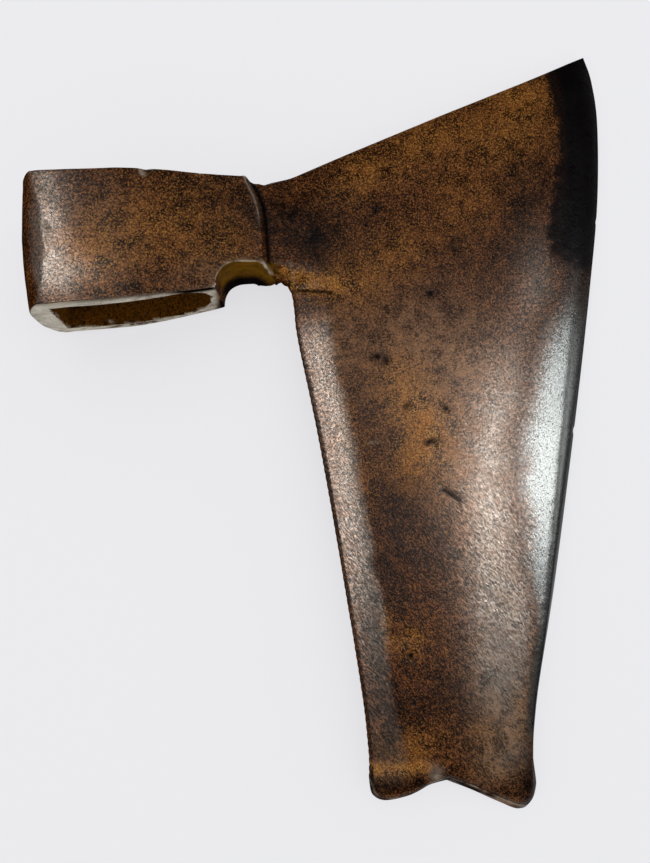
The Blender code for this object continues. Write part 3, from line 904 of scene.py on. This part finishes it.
    def beard_strip(self, y: Array, inset: Array, drift: Array) -> Array:
        """The strip along the beard's inner side, polished and painted with sheen, weaker towards the toe.

        Args:
            y: Height of each point.
            inset: Its distance from the inner side.
            drift: Broad noise that makes the border ragged.

        Returns:
            One strength a point.
        """
        strip = ramp(inset - 2.7 * drift, self.strip_width, self.strip_width - 4.0)
        strip *= (0.7 + 0.3 * ramp(inset, 0.0, 8.0)) * ramp(inset, -3.0, 0.0) * ramp(y, 4.0, -14.0)
        fading = (0.35 + 0.65 * ramp(y, -170.0, -100.0)) * ramp(y, -182.0, -170.0)
        return self.strip_strength * strip * fading

    def under_socket(self, surface: Surface, socket: Socket) -> tuple[Array, Array, Array, Array]:
        """The lower eye face, cleaned pale and partly painted light, with its black scale, and the notch's
        olive roof.

        Args:
            surface: The head's points.
            socket: The socket.

        Returns:
            The masks of the lower face and of the roof, the black on both from scale, a line along the
            cheek's edge and painted shade in the roof's lower part,
            and what is quite pale: where the scale has flaked, and towards the poll end.
        """
        x, _, z = surface.spots.T
        below = -surface.normals[:, 1]
        start = socket.notch_start
        lower_face = ramp(below, 0.75, 0.95) * ramp(x, start + 2.0, start - 1.0)
        roof = ramp(below, 0.25, 0.55) * ramp(x, start, start + 2.0)
        roof *= ramp(x, socket.neck_end + 2.0, socket.neck_end - 2.0)
        # Painted shade in the lower part of the notch's roof.
        roof_shade = roof * ramp(z, 2.0, -6.0)
        flaked = surface.noise(2.6, 71)
        brink = socket.cheek(x) - z
        line = 0.8 * bell(brink, 2.4) + ramp(x, 42.0, 50.0) * ramp(brink, 5.0, 2.5)
        scale = lower_face * ramp(z, -15.5, -17.0) * ramp(z, -20.4, -19.2)
        soot_and_shade_black = np.clip(line, 0.0, 1.0) * lower_face + scale * ease(flaked * 3.0 + 0.2) + roof_shade
        # Paler towards the poll end, and where the black scale has flaked.
        paler_places = lower_face * (0.6 * bell(x - 5.0, 9.0) + 0.7 * scale * ease(-flaked * 3.0 - 0.4))
        roof = (roof - roof_shade) * (0.55 + 0.45 * ease(flaked * 2.0 + 0.6)) * (1.0 - surface.inside)
        return lower_face, roof, soot_and_shade_black, paler_places


def hex_linear(code: str) -> tuple[float, float, float, float]:
    """Linear colour of an sRGB hex code: the two-part sRGB curve, channel by channel."""
    levels = [int(code[place:place + 2], 16) / 255.0 for place in (1, 3, 5)]
    return (*[v / 12.92 if v <= 0.04045 else ((v + 0.055) / 1.055) ** 2.4 for v in levels], 1.0)


def add_node(tree: Tree, kind: str, sources: dict, **settings) -> bpy.types.Node:
    """Adds a shader node with its settings, values and links.

    Args:
        tree: The material's node tree.
        kind: Node type, without its ShaderNode prefix.
        sources: A value or an output for each input, by name or place.
        settings: The node's own properties.

    Returns:
        The node.
    """
    node = tree.nodes.new("ShaderNode" + kind)
    for name, value in settings.items():
        setattr(node, name, value)
    for socket, source in sources.items():
        if isinstance(source, Output):
            tree.links.new(source, node.inputs[socket])
        else:
            node.inputs[socket].default_value = source
    return node


@dataclass
class Bench:
    """A material's node tree with its parts by name: masks, noise layers and bands of them."""

    tree: Tree
    part: dict[str, Output]

    def add(self, kind: str, sources: dict, **settings) -> bpy.types.Node:
        """Adds a node, with a part's output for each source that is a part's name.

        Args:
            kind: Node type, without its ShaderNode prefix.
            sources: A value, an output or a part's name for each input.
            settings: The node's own properties.

        Returns:
            The node.
        """
        sources = {place: self.part.get(source, source) if isinstance(source, str) else source
                   for place, source in sources.items()}
        return add_node(self.tree, kind, sources, **settings)

    def mix(self, factor: object, low: object, high: object) -> Output:
        """A value between two, by the factor."""
        return self.add("Mix", {0: factor, 2: low, 3: high}).outputs[0]

    def maths(self, operation: str, first: object, second: object) -> Output:
        """One value from two."""
        return self.add("Math", {0: first, 1: second}, operation=operation).outputs[0]

    def coat(self, factor: object, under: object, over: object) -> Output:
        """A colour laid over another by the factor; each is an output or a hex code."""
        under, over = (hex_linear(colour) if isinstance(colour, str) else colour for colour in (under, over))
        return self.add("Mix", {0: factor, 6: under, 7: over}, data_type="RGBA").outputs[2]


@dataclass(frozen=True)
class PatinatedIron:
    """Wrought iron, forged under the hammer, rusted long, then brushed and waxed.

    The oxide is a dark brown skin with orange and golden mottling. It is crinkled like
    leather at about a millimetre, so it glints in small grains under a low sheen. The
    grain is drawn a little coarser than the real one, which is too fine for the picture.
    """

    umber: str = "#0d0401"
    brown: str = "#33170a"
    tan: str = "#824c26"
    # Straw and gold specks paint glints.
    straw: str = "#ab713a"
    russet: str = "#48200e"
    orange: str = "#935a24"
    gold: str = "#cc993e"
    # Tan of dust and of painted sheen.
    dust_and_sheen_tan: str = "#967355"
    # Black of soot, of painted shade and of painted dark reflections.
    soot_and_shade_black: str = "#080506"
    sheen: str = "#7e7a74"
    steel: str = "#4f5150"
    # Pale grey of the cleaned lower face, lightened to paint the light it catches; also the painted
    # highlight lines.
    cleaned_and_painted_light: str = "#d0c7b3"
    stained: str = "#6b5f4a"
    rust: str = "#6a4110"
    olive: str = "#6b4a0c"
    grain_mm: float = 0.85
    speck_mm: float = 0.6
    mottle_mm: float = 6.0
    cloud_mm: float = 30.0
    crinkle_mm: float = 2.8
    stroke_turn: float = -55.0
    stroke_stretch: float = 2.0
    grain_depth_mm: float = 0.12
    crinkle_depth_mm: float = 0.12
    specular: float = 0.06
    roughness: tuple = (0.25, 0.38)
    bare_roughness: float = 0.25
    eye_roughness: float = 0.85

    def material(self) -> bpy.types.Material:
        """Builds the material's nodes: layers of noise, then colours, gloss and relief.

        Returns:
            The material.
        """
        material = bpy.data.materials.new("waxed_patinated_wrought_iron")
        material.use_nodes = True
        tree = material.node_tree
        names = ("bare", "burnish_and_sheen", "golden", "soot_and_shade", "dust_and_sheen", "cleaned_and_painted_light", "black_marks_and_painted_dark", "roof",
                 "inside", "stretch", "worn", "sunk", "dull")
        bench = Bench(tree, {name: add_node(tree, "Attribute", {}, attribute_name=name).outputs["Fac"]
                             for name in names})
        self.add_layers(bench)
        for name, source in (
                ("Base Color", self.colour(bench)), ("Metallic", self.metal(bench)),
                ("Roughness", self.gloss(bench)), ("Normal", self.relief(bench)),
                ("Specular IOR Level", bench.mix("dull", self.specular, 0.0))):
            tree.links.new(source, tree.nodes["Principled BSDF"].inputs[name])
        return material

    def add_layers(self, bench: Bench) -> None:
        """Adds noise layers, from the finest specks to the broad clouds, and bands of them.

        Args:
            bench: The material's nodes, which gain one part a layer and one a band.
        """
        place = bench.add("TexCoord", {}).outputs["Object"]
        turned = bench.add("Mapping", {
            "Vector": place, "Rotation": (0.0, 0.0, np.radians(self.stroke_turn)),
            "Scale": (self.stroke_stretch, 1.0 / self.stroke_stretch ** 0.5, 1.0)},
            vector_type="TEXTURE").outputs["Vector"]
        for name, vector, size, detail, rough, warp in (
                ("round_grain", place, self.grain_mm, 4.0, 0.78, 0.3),
                ("long_grain", turned, self.grain_mm, 3.0, 0.72, 0.3),
                ("speck", place, self.speck_mm, 1.0, 0.5, 0.0),
                ("mottle", place, self.mottle_mm, 4.0, 0.62, 0.6),
                ("cloud", place, self.cloud_mm, 3.0, 0.55, 0.0),
                ("crinkle", place, self.crinkle_mm, 2.0, 0.5, 0.4)):
            bench.part[name] = bench.add("TexNoise", {
                "Vector": vector, "Scale": 1.0 / (size * MM), "Detail": detail, "Roughness": rough,
                "Distortion": warp}).outputs["Fac"]
        bench.part["grain"] = bench.mix("stretch", "round_grain", "long_grain")
        bench.part["mixed"] = bench.maths("ADD", "mottle", "grain")
        bench.part["rubbed"] = bench.maths("ADD", "bare", "grain")
        for name, source, low, high, dim, full in (
                ("body", "grain", 0.36, 0.58, 0.0, 1.0), ("crests", "grain", 0.50, 0.68, 0.0, 1.0),
                ("polish", "grain", 0.42, 0.62, 0.32, 0.85),
                ("glint_specks", "speck", 0.54, 0.67, 0.0, 0.8), ("pores", "speck", 0.44, 0.32, 0.0, 0.65),
                ("steel", "rubbed", 0.84, 1.36, 0.0, 1.0),
                ("patches", "mottle", 0.48, 0.62, 0.0, 0.75), ("drifts", "cloud", 0.48, 0.64, 0.0, 0.7),
                ("smudges", "mottle", 0.54, 0.38, 0.0, 0.8), ("shade", "cloud", 0.52, 0.38, 0.45, 1.0),
                ("gilt", "mixed", 0.86, 1.10, 0.05, 1.0), ("soot_and_shade_spread", "mixed", 1.25, 0.85, 0.35, 1.0),
                ("dust_and_sheen_spread", "mixed", 0.86, 1.16, 0.10, 0.95), ("stain", "mottle", 0.35, 0.65, 0.0, 1.0),
                ("fleck", "mottle", 0.35, 0.6, 0.35, 1.0), ("wax", "mottle", 0.3, 0.7, *self.roughness)):
            bench.part[name] = bench.add("MapRange", {
                "Value": source, "From Min": low, "From Max": high, "To Min": dim,
                "To Max": full}).outputs["Result"]

    def colour(self, bench: Bench) -> Output:
        """Base colour: coats laid one on another, each where its mask and layer agree; some paint light and
        shade.

        Args:
            bench: The material's nodes.

        Returns:
            The colour's output.
        """
        wall = bench.coat("body", self.soot_and_shade_black, self.rust)
        bright = bench.coat("stain", self.cleaned_and_painted_light, self.stained)
        colour = bench.coat("body", self.umber, self.brown)
        # Some coats paint light and shade: the grey sheen and tan dust coats paint sheen, the straw and gold
        # specks glints, the pale coat light and highlight lines, the black coats shade and dark reflections.
        for share, amount, over in (
                ("drifts", "patches", self.russet), ("crests", 1.0, self.tan),
                ("patches", "crests", self.orange), ("smudges", "shade", self.umber),
                ("dust_and_sheen", "dust_and_sheen_spread", self.dust_and_sheen_tan), ("golden", "gilt", self.orange),
                ("golden", "glint_specks", self.gold), ("glint_specks", 0.5, self.straw),
                ("pores", 0.8, self.umber), ("soot_and_shade", "soot_and_shade_spread", self.soot_and_shade_black),
                ("black_marks_and_painted_dark", 1.0, self.soot_and_shade_black), ("burnish_and_sheen", "polish", self.sheen),
                ("steel", 1.0, self.steel), ("steel", "pores", self.soot_and_shade_black), ("inside", 1.0, wall),
                ("roof", 0.9, self.olive), ("cleaned_and_painted_light", 0.92, bright), ("cleaned_and_painted_light", "pores", self.rust),
                ("worn", "fleck", self.cleaned_and_painted_light), ("sunk", 0.6, self.soot_and_shade_black)):
            factor = bench.maths("MULTIPLY", share, amount)
            colour = bench.coat(factor, colour, over)
        return colour

    def metal(self, bench: Bench) -> Output:
        """Metallic value: whole on the bare edge, part on the polished, the cleaned and the worn places.

        Args:
            bench: The material's nodes.

        Returns:
            The value's output.
        """
        metal = "steel"
        for share, amount in (("cleaned_and_painted_light", 0.3), ("worn", 0.15), ("burnish_and_sheen", "polish")):
            metal = bench.maths("MAXIMUM", metal, bench.maths("MULTIPLY", share, amount))
        return metal

    def gloss(self, bench: Bench) -> Output:
        """Roughness: mottled wax, smoother on the bare edge, dull inside the eye."""
        rough = bench.mix("steel", "wax", self.bare_roughness)
        return bench.mix("dull", rough, self.eye_roughness)

    def relief(self, bench: Bench) -> Output:
        """Normal: the fine grain over the leather-like crinkle, both flatter where bare.

        Args:
            bench: The material's nodes.

        Returns:
            The normal's output.
        """
        rubbed = bench.mix("burnish_and_sheen", 1.0, 0.72)
        bump = {"Strength": bench.mix("steel", rubbed, 0.4)}
        for name, depth in (("grain", self.grain_depth_mm), ("crinkle", self.crinkle_depth_mm)):
            bump |= {"Distance": depth * MM, "Height": name}
            bump["Normal"] = bench.add("Bump", bump).outputs["Normal"]
        return bump["Normal"]


@dataclass
class AxeHead:
    """The whole head: one forging, from its outline to its finish."""

    socket: Socket
    blade: Blade
    eye: Eye
    relief: Relief
    wear: Wear
    finish: PatinatedIron
    levels: int = 24
    up: tuple = (-0.105851, 0.007871, 0.994351)
    offset: tuple = (-107.106, 47.842, 24.456)
    soft_edge: float = 0.42
    crease_angle: float = 34.0
    sharp_angle: float = 50.0

    def lie(self) -> Matrix:
        """Turn and shift from the head's frame, in metres, to where it lies."""
        turn = Vector(self.up).rotation_difference(Vector((0.0, 0.0, 1.0))).to_matrix().to_4x4()
        return Matrix.Translation(Vector(self.offset) * MM) @ turn

    def at_level(self, plan: Array, level: float) -> Array:
        """The plan at a level from -1, the lower face, to 1, the upper face.

        Args:
            plan: Grid of X and Y on the middle plane.
            level: Height as a share of the half thickness.

        Returns:
            The grid with the poll bulged, the toe's end sloped, and the notch leaning.
        """
        socket, blade = self.socket, self.blade
        moved = plan.copy()
        rows = np.linspace(0.0, 1.0, socket.rows + 1)
        slope = socket.upper_slope + (socket.lower_slope - socket.upper_slope) * rows
        bulge = socket.dome + (socket.crown + socket.wear) * 4.0 * rows * (1.0 - rows)
        bulge = bulge * (1.0 - abs(level) ** 3)
        moved[:socket.rows + 1, 0] -= np.stack([bulge, slope * bulge], axis=-1)
        moved[-1, :, 1] -= blade.toe_bevel * (1.0 - level) / 2
        stem = plan[:socket.rows + 1, :, 0]
        reach = socket.notch_reach
        near = ease((stem - socket.notch_start + 2 * reach) / (2 * reach)) * rows[:, None] ** 4
        lean = near * (1.0 - ease((stem - socket.notch_start - reach / 2) / reach))
        moved[:socket.rows + 1, :, 0] += socket.notch_lean * lean * (1.0 - level) / 2
        roof = near * ease((stem - socket.notch_start) / reach)
        roof = roof * (1.0 - ease((stem - socket.neck_end) / blade.rim_turn))
        moved[:socket.rows + 1, :, 1] -= socket.notch_sag * roof * (1.0 - level) / 2
        return moved

    def grid_at(self, plan: Array, half: Array, near_toe: Array, level: float) -> Array:
        """The grid's points at a level, with the toe's upper rim rolled over.

        Args:
            plan: Grid of X and Y on the middle plane.
            half: Half thickness at each point.
            near_toe: Nearness of each to the toe's cut end.
            level: Height as a share of the half thickness.

        Returns:
            Grid of X, Y and Z.
        """
        drop = near_toe * (1.0 + level) / 2
        height = self.blade.middle(plan) + level * half - self.blade.toe_roll * drop
        grid = np.dstack([self.at_level(plan, level), height])
        grid[..., 1] += self.blade.toe_pull * drop
        return grid

    def form(self) -> tuple[Array, Array, Array]:
        """Points, quads and half thickness of the head before its relief and eye.

        Returns:
            The points in the head's frame, the quads facing out, and the half thickness at
            each point. Two L-shaped grids are the faces, and rings of the grid's outline
            between them are the sides.
        """
        socket, blade = self.socket, self.blade
        stem_plan = socket.plan()
        blade_plan = blade.plan(stem_plan[:, -1])
        rows, joint = len(blade_plan), stem_plan.shape[1] - 1
        columns = joint + blade_plan.shape[1]
        plan = np.zeros((rows, columns, 2))
        half, near_toe = np.zeros((rows, columns)), np.zeros((rows, columns))
        present = np.zeros((rows, columns), dtype=bool)
        neck = slice(0, socket.rows + 1)
        past_ridge = socket.stations() > socket.length + 1e-6
        rim = blade_plan[socket.rows:, 0]
        stem = blade.stem(stem_plan, np.full(stem_plan.shape[:2], blade.root / 2), rim, socket)
        plan[neck, :joint + 1] = stem_plan
        half[neck, :joint + 1] = np.where(past_ridge, stem, socket.half(stem_plan[..., 0]))
        present[neck, :joint + 1] = True
        plan[:, joint:] = blade_plan
        half[:, joint:] = blade.half(blade_plan, socket)
        present[:, joint:] = True
        near_toe[:, joint:] = blade.nearness(blade_plan)

        count = int(present.sum())
        index = np.full(present.shape, -1)
        index[present] = np.arange(count)
        full = present[:-1, :-1] & present[1:, :-1] & present[1:, 1:] & present[:-1, 1:]
        quads = np.stack([index[:-1, :-1], index[1:, :-1], index[1:, 1:], index[:-1, 1:]], axis=-1)[full]
        loop = self.outline_loop(rows, columns, joint)
        inward = right_of(plan[loop])
        thick = half[loop][:, None]
        rounding = blade.rim_round * ease((plan[loop][:, :1] - socket.length) / blade.rim_turn)
        rounding = rounding * np.clip(thick / (2.0 * blade.rim_round), 0.0, 1.0)
        points, faces, halves = [], [], []
        for side in Side:
            sheet = self.grid_at(plan, half, near_toe, side.value)
            sheet[loop[0], loop[1], :2] += rounding * inward
            points.append(sheet[present])
            halves.append(half[present])
            faces.append(quads if side is Side.UPPER else quads[:, ::-1] + count)

        rings = [index[loop]]
        for number, level in enumerate(np.linspace(1.0, -1.0, self.levels + 1)[1:-1]):
            ring = self.grid_at(plan, half, near_toe, level)[loop]
            bite = (1.0 - abs(level)) * thick / np.maximum(rounding, 1e-6)
            bite = 1.0 - np.sqrt(1.0 - (1.0 - np.clip(bite, 0.0, 1.0)) ** 2)
            ring[:, :2] += rounding * bite * inward
            points.append(ring)
            halves.append(half[loop])
            rings.append(2 * count + number * len(ring) + np.arange(len(ring)))
        rings = np.array([*rings, index[loop] + count])
        upper, lower = rings[:-1], rings[1:]
        sides = np.stack([np.roll(upper, 1, 1), upper, lower, np.roll(lower, 1, 1)], axis=-1)
        faces.append(sides.reshape(-1, 4))
        return np.vstack(points), np.vstack(faces), np.concatenate(halves)

    def outline_loop(self, rows: int, columns: int, joint: int) -> tuple[Array, Array]:
        """Rows and columns of the grid's outline, clockwise from the poll's upper corner.

        Args:
            rows: Rows of the whole grid.
            columns: Columns of the whole grid.
            joint: The column where the blade starts.

        Returns:
            The outline's rows and its columns.
        """
        foot = self.socket.rows
        turns = np.array([(0, 0), (0, columns - 1), (rows - 1, columns - 1), (rows - 1, joint),
                          (foot, joint), (foot, 0), (0, 0)])
        path = [start + np.sign(end - start) * np.arange(np.abs(end - start).max())[:, None]
                for start, end in zip(turns, turns[1:])]
        return tuple(np.vstack(path).T)

    @staticmethod
    def point_normals(points: Array, quads: Array) -> Array:
        """Normals at the points: the sum of the cross products of each quad's diagonals.

        Args:
            points: Points, one a row.
            quads: Four point numbers a quad.

        Returns:
            One unit vector a point.
        """
        a, b, c, d = (points[quads[:, corner]] for corner in range(4))
        facing = np.cross(c - a, d - b)
        total = np.zeros_like(points)
        for corner in range(4):
            np.add.at(total, quads[:, corner], facing)
        return total / np.maximum(np.linalg.norm(total, axis=1), 1e-9)[:, None]

    def carve(self) -> Thing:
        """Makes the head's mesh with its relief, and cuts the eye through it.

        Returns:
            The head's object, in the head's frame, with its mesh final.
        """
        points, quads, half = self.form()
        normals = self.point_normals(points, quads)
        heights = self.relief.height(points, normals, half, self.socket)
        points = points + normals * heights[:, None]
        points[:, 0] += self.relief.outline_shift(points, half)
        head = add_object("forged_axe_head", points, quads.tolist())
        cutter = self.eye.cutter(self.socket)
        cut = head.modifiers.new("eye", "BOOLEAN")
        cut.operation, cut.solver, cut.object = "DIFFERENCE", "EXACT", cutter
        self.settle(head)
        bpy.data.objects.remove(cutter)
        self.mark_creases(head.data)
        soften = head.modifiers.new("softened_arrises", "BEVEL")
        soften.limit_method, soften.segments = "WEIGHT", 2
        soften.width = self.soft_edge * MM
        soften.use_clamp_overlap = False
        self.settle(head)
        return head

    @staticmethod
    def settle(head: Thing) -> None:
        """Bakes the object's modifiers into its mesh.

        Args:
            head: The object.
        """
        graph = bpy.context.evaluated_depsgraph_get()
        mesh = bpy.data.meshes.new_from_object(head.evaluated_get(graph))
        head.modifiers.clear()
        head.data = mesh

    def mark_creases(self, mesh: bpy.types.Mesh) -> None:
        """Weights the socket's arrises, which a worn forging has rounded; the neck and blade get none.

        Args:
            mesh: The head's mesh after the eye is cut.
        """
        facing = read(mesh.polygons, "normal", 3)
        owners = np.repeat(np.arange(len(facing)), read(mesh.polygons, "loop_total", kind=int))
        order = np.argsort(read(mesh.loops, "edge_index", kind=int), kind="stable")
        pairs = owners[order].reshape(-1, 2)
        bend = (facing[pairs[:, 0]] * facing[pairs[:, 1]]).sum(axis=1)
        ends = read(mesh.edges, "vertices", 2, int)
        middle = read(mesh.vertices, "co", 3)[ends].mean(axis=1) / MM
        crease = (bend < np.cos(np.radians(self.crease_angle))) & (middle[:, 0] < self.socket.length + 0.5)
        weights = mesh.attributes.new("bevel_weight_edge", "FLOAT", "EDGE")
        weights.data.foreach_set("value", crease.astype(np.float32))

    @staticmethod
    def surface(mesh: bpy.types.Mesh) -> Surface:
        """What the masks read: places, normals, the eye's walls, and how sharp each point is.

        Args:
            mesh: The head's mesh, in the head's frame.

        Returns:
            The surface. Its sharpness is how far a point stands out from its neighbours,
            over their distance.
        """
        spots, normals = read(mesh.vertices, "co", 3) / MM, read(mesh.vertices, "normal", 3)
        ends = read(mesh.edges, "vertices", 2, int)
        total, links, reach = np.zeros(spots.shape), np.zeros(len(spots)), np.full(len(spots), 1e-6)
        lengths = np.linalg.norm(spots[ends[:, 0]] - spots[ends[:, 1]], axis=1)
        for near, far in ((0, 1), (1, 0)):
            np.add.at(total, ends[:, near], spots[ends[:, far]])
            np.add.at(links, ends[:, near], 1.0)
            np.add.at(reach, ends[:, near], lengths)
        away = spots - total / links[:, None]
        inside = np.zeros(len(spots))
        in_eye = np.repeat(read(mesh.polygons, "material_index", kind=int) == 1,
                           read(mesh.polygons, "loop_total", kind=int))
        inside[read(mesh.loops, "vertex_index", kind=int)[in_eye]] = 1.0
        return Surface(spots, normals, (away * normals).sum(axis=1) * links / reach, inside)

    def dress(self, head: Thing) -> None:
        """Gives the mesh its masks, sharp arrises and material, and lays it down.

        Args:
            head: The head's object, in the head's frame.
        """
        mesh = head.data
        for name, values in self.wear.masks(self.surface(mesh), self.blade, self.socket).items():
            mesh.attributes.new(name, "FLOAT", "POINT").data.foreach_set("value", values.astype(np.float32))
        mesh.transform(self.lie())
        low, high = (np.array(corner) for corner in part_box("axe_head"))
        mesh.vertices.foreach_set("co", np.clip(read(mesh.vertices, "co", 3), low, high).ravel())
        mesh.shade_smooth()
        mesh.set_sharp_from_angle(angle=np.radians(self.sharp_angle))
        mesh.materials.clear()
        mesh.materials.append(self.finish.material())
        mesh.polygons.foreach_set("material_index", np.zeros(len(mesh.polygons), dtype=np.int32))
        mesh.update()

    def build(self) -> Thing:
        """Builds the head and sets it in place of its solid.

        Returns:
            The finished piece.
        """
        head = self.carve()
        self.dress(head)
        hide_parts("axe_head")
        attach(head, "root")
        return head


@dataclass(frozen=True)
class Lamp:
    """A soft box: where it stands, what it faces, its sides and its power."""

    name: str
    place: tuple[float, float, float]
    aim: tuple[float, float, float]
    sides: tuple[float, float]
    watts: float
    tint: str = "#ffffff"
    use: Light = Light.SHEEN

    def switch_on(self) -> Thing:
        """Adds the lamp to the scene, facing its aim.

        Returns:
            The lamp.
        """
        data = bpy.data.lights.new(self.name, "AREA")
        data.shape = "RECTANGLE"
        data.size, data.size_y = self.sides
        data.energy = self.watts
        data.color = hex_linear(self.tint)[:3]
        lamp = bpy.data.objects.new(self.name, data)
        lamp.location = self.place
        lamp.rotation_euler = (Vector(self.aim) - Vector(self.place)).to_track_quat("-Z", "Y").to_euler()
        lamp.visible_glossy = self.use is Light.SHEEN
        lamp.visible_diffuse = self.use is Light.FILL
        bpy.context.scene.collection.objects.link(lamp)
        return lamp


@dataclass
class Studio:
    """Pale floor, soft boxes and the camera that looks down on the head."""

    floor_side: float = 40.0
    floor_colour: str = "#8c8c8d"
    floor_light: str = "#fbfbff"
    floor_glow: float = 0.67
    sky: str = "#ffffff"
    ambient: float = 0.62
    camera_place: tuple = (-0.0244, -0.01561, 0.26406)
    camera_turn: tuple = (3.971, -2.750, -4.489)
    focal_pixels: float = 660.0
    frame_height: int = 863
    sensor: float = 36.0
    lamps: tuple = (
        Lamp("window_box", (0.500, -0.018, 0.665), (0.075, -0.02, 0.0), (0.35, 0.15), 3.8),
        Lamp("edge_box", (0.776, -0.060, 0.40), (0.08, -0.02, 0.0), (0.34, 0.20), 0.9),
        Lamp("sheen_box", (-0.175, -0.020, 0.98), (-0.01, 0.0, 0.0), (0.45, 0.26), 9.5),
        Lamp("poll_box", (-0.56, 0.41, 0.83), (-0.10, 0.076, 0.0), (0.36, 0.34), 5.4),
        Lamp("head_box", (-0.05, 0.55, 1.00), (0.0, 0.0, 0.0), (0.90, 0.90), 1.4, use=Light.FILL))

    def floor(self) -> Thing:
        """Lays the pale, back-lit paper sheet that the head rests on.

        Returns:
            Nothing: the floor is marked as stage.
        """
        half = self.floor_side / 2
        mesh = bpy.data.meshes.new("paper_floor")
        mesh.from_pydata([(-half, -half, 0), (half, -half, 0), (half, half, 0), (-half, half, 0)],
                         [], [(0, 1, 2, 3)])
        floor = bpy.data.objects.new("paper_floor", mesh)
        material = bpy.data.materials.new("matt_paper")
        material.use_nodes = True
        shader = material.node_tree.nodes["Principled BSDF"]
        shader.inputs["Base Color"].default_value = hex_linear(self.floor_colour)
        shader.inputs["Roughness"].default_value = 0.9
        shader.inputs["Specular IOR Level"].default_value = 0.1
        shader.inputs["Emission Color"].default_value = hex_linear(self.floor_light)
        shader.inputs["Emission Strength"].default_value = self.floor_glow
        mesh.materials.append(material)
        bpy.context.scene.collection.objects.link(floor)
        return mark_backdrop(floor)

    def camera(self) -> Thing:
        """Sets the camera where the photograph was taken from.

        Returns:
            The camera.
        """
        data = bpy.data.cameras.new("camera")
        data.sensor_fit = "VERTICAL"
        data.sensor_height = self.sensor
        data.lens = self.sensor * self.focal_pixels / self.frame_height
        data.clip_start = 0.01
        camera = bpy.data.objects.new("camera", data)
        camera.location = self.camera_place
        camera.rotation_euler = Euler([np.radians(angle) for angle in self.camera_turn])
        bpy.context.scene.collection.objects.link(camera)
        bpy.context.scene.camera = camera
        return camera

    def build(self) -> None:
        """Adds the floor, the lamps, the dim surroundings and the camera."""
        self.floor()
        for lamp in self.lamps:
            lamp.switch_on()
        world = bpy.data.worlds.new("dim_room")
        world.use_nodes = True
        sky = world.node_tree.nodes["Background"]
        sky.inputs["Color"].default_value = hex_linear(self.sky)
        sky.inputs["Strength"].default_value = self.ambient
        world.cycles_visibility.glossy = False
        bpy.context.scene.world = world
        bpy.context.scene.view_settings.view_transform = "Standard"
        self.camera()


def corners(box: tuple) -> list[list[float]]:
    """A box's two corners as plain lists."""
    return [[float(value) for value in corner] for corner in box]


def main() -> None:
    logging.basicConfig(level=logging.INFO, format="%(message)s")
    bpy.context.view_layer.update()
    Studio().build()
    head = AxeHead(Socket(), Blade(), Eye(), Relief(), Wear(), PatinatedIron()).build()
    triangles = sum(len(face.vertices) - 2 for face in head.data.polygons)
    LOG.info("%s: %d triangles", head.name, triangles)


if __name__ == "__main__":
    main()
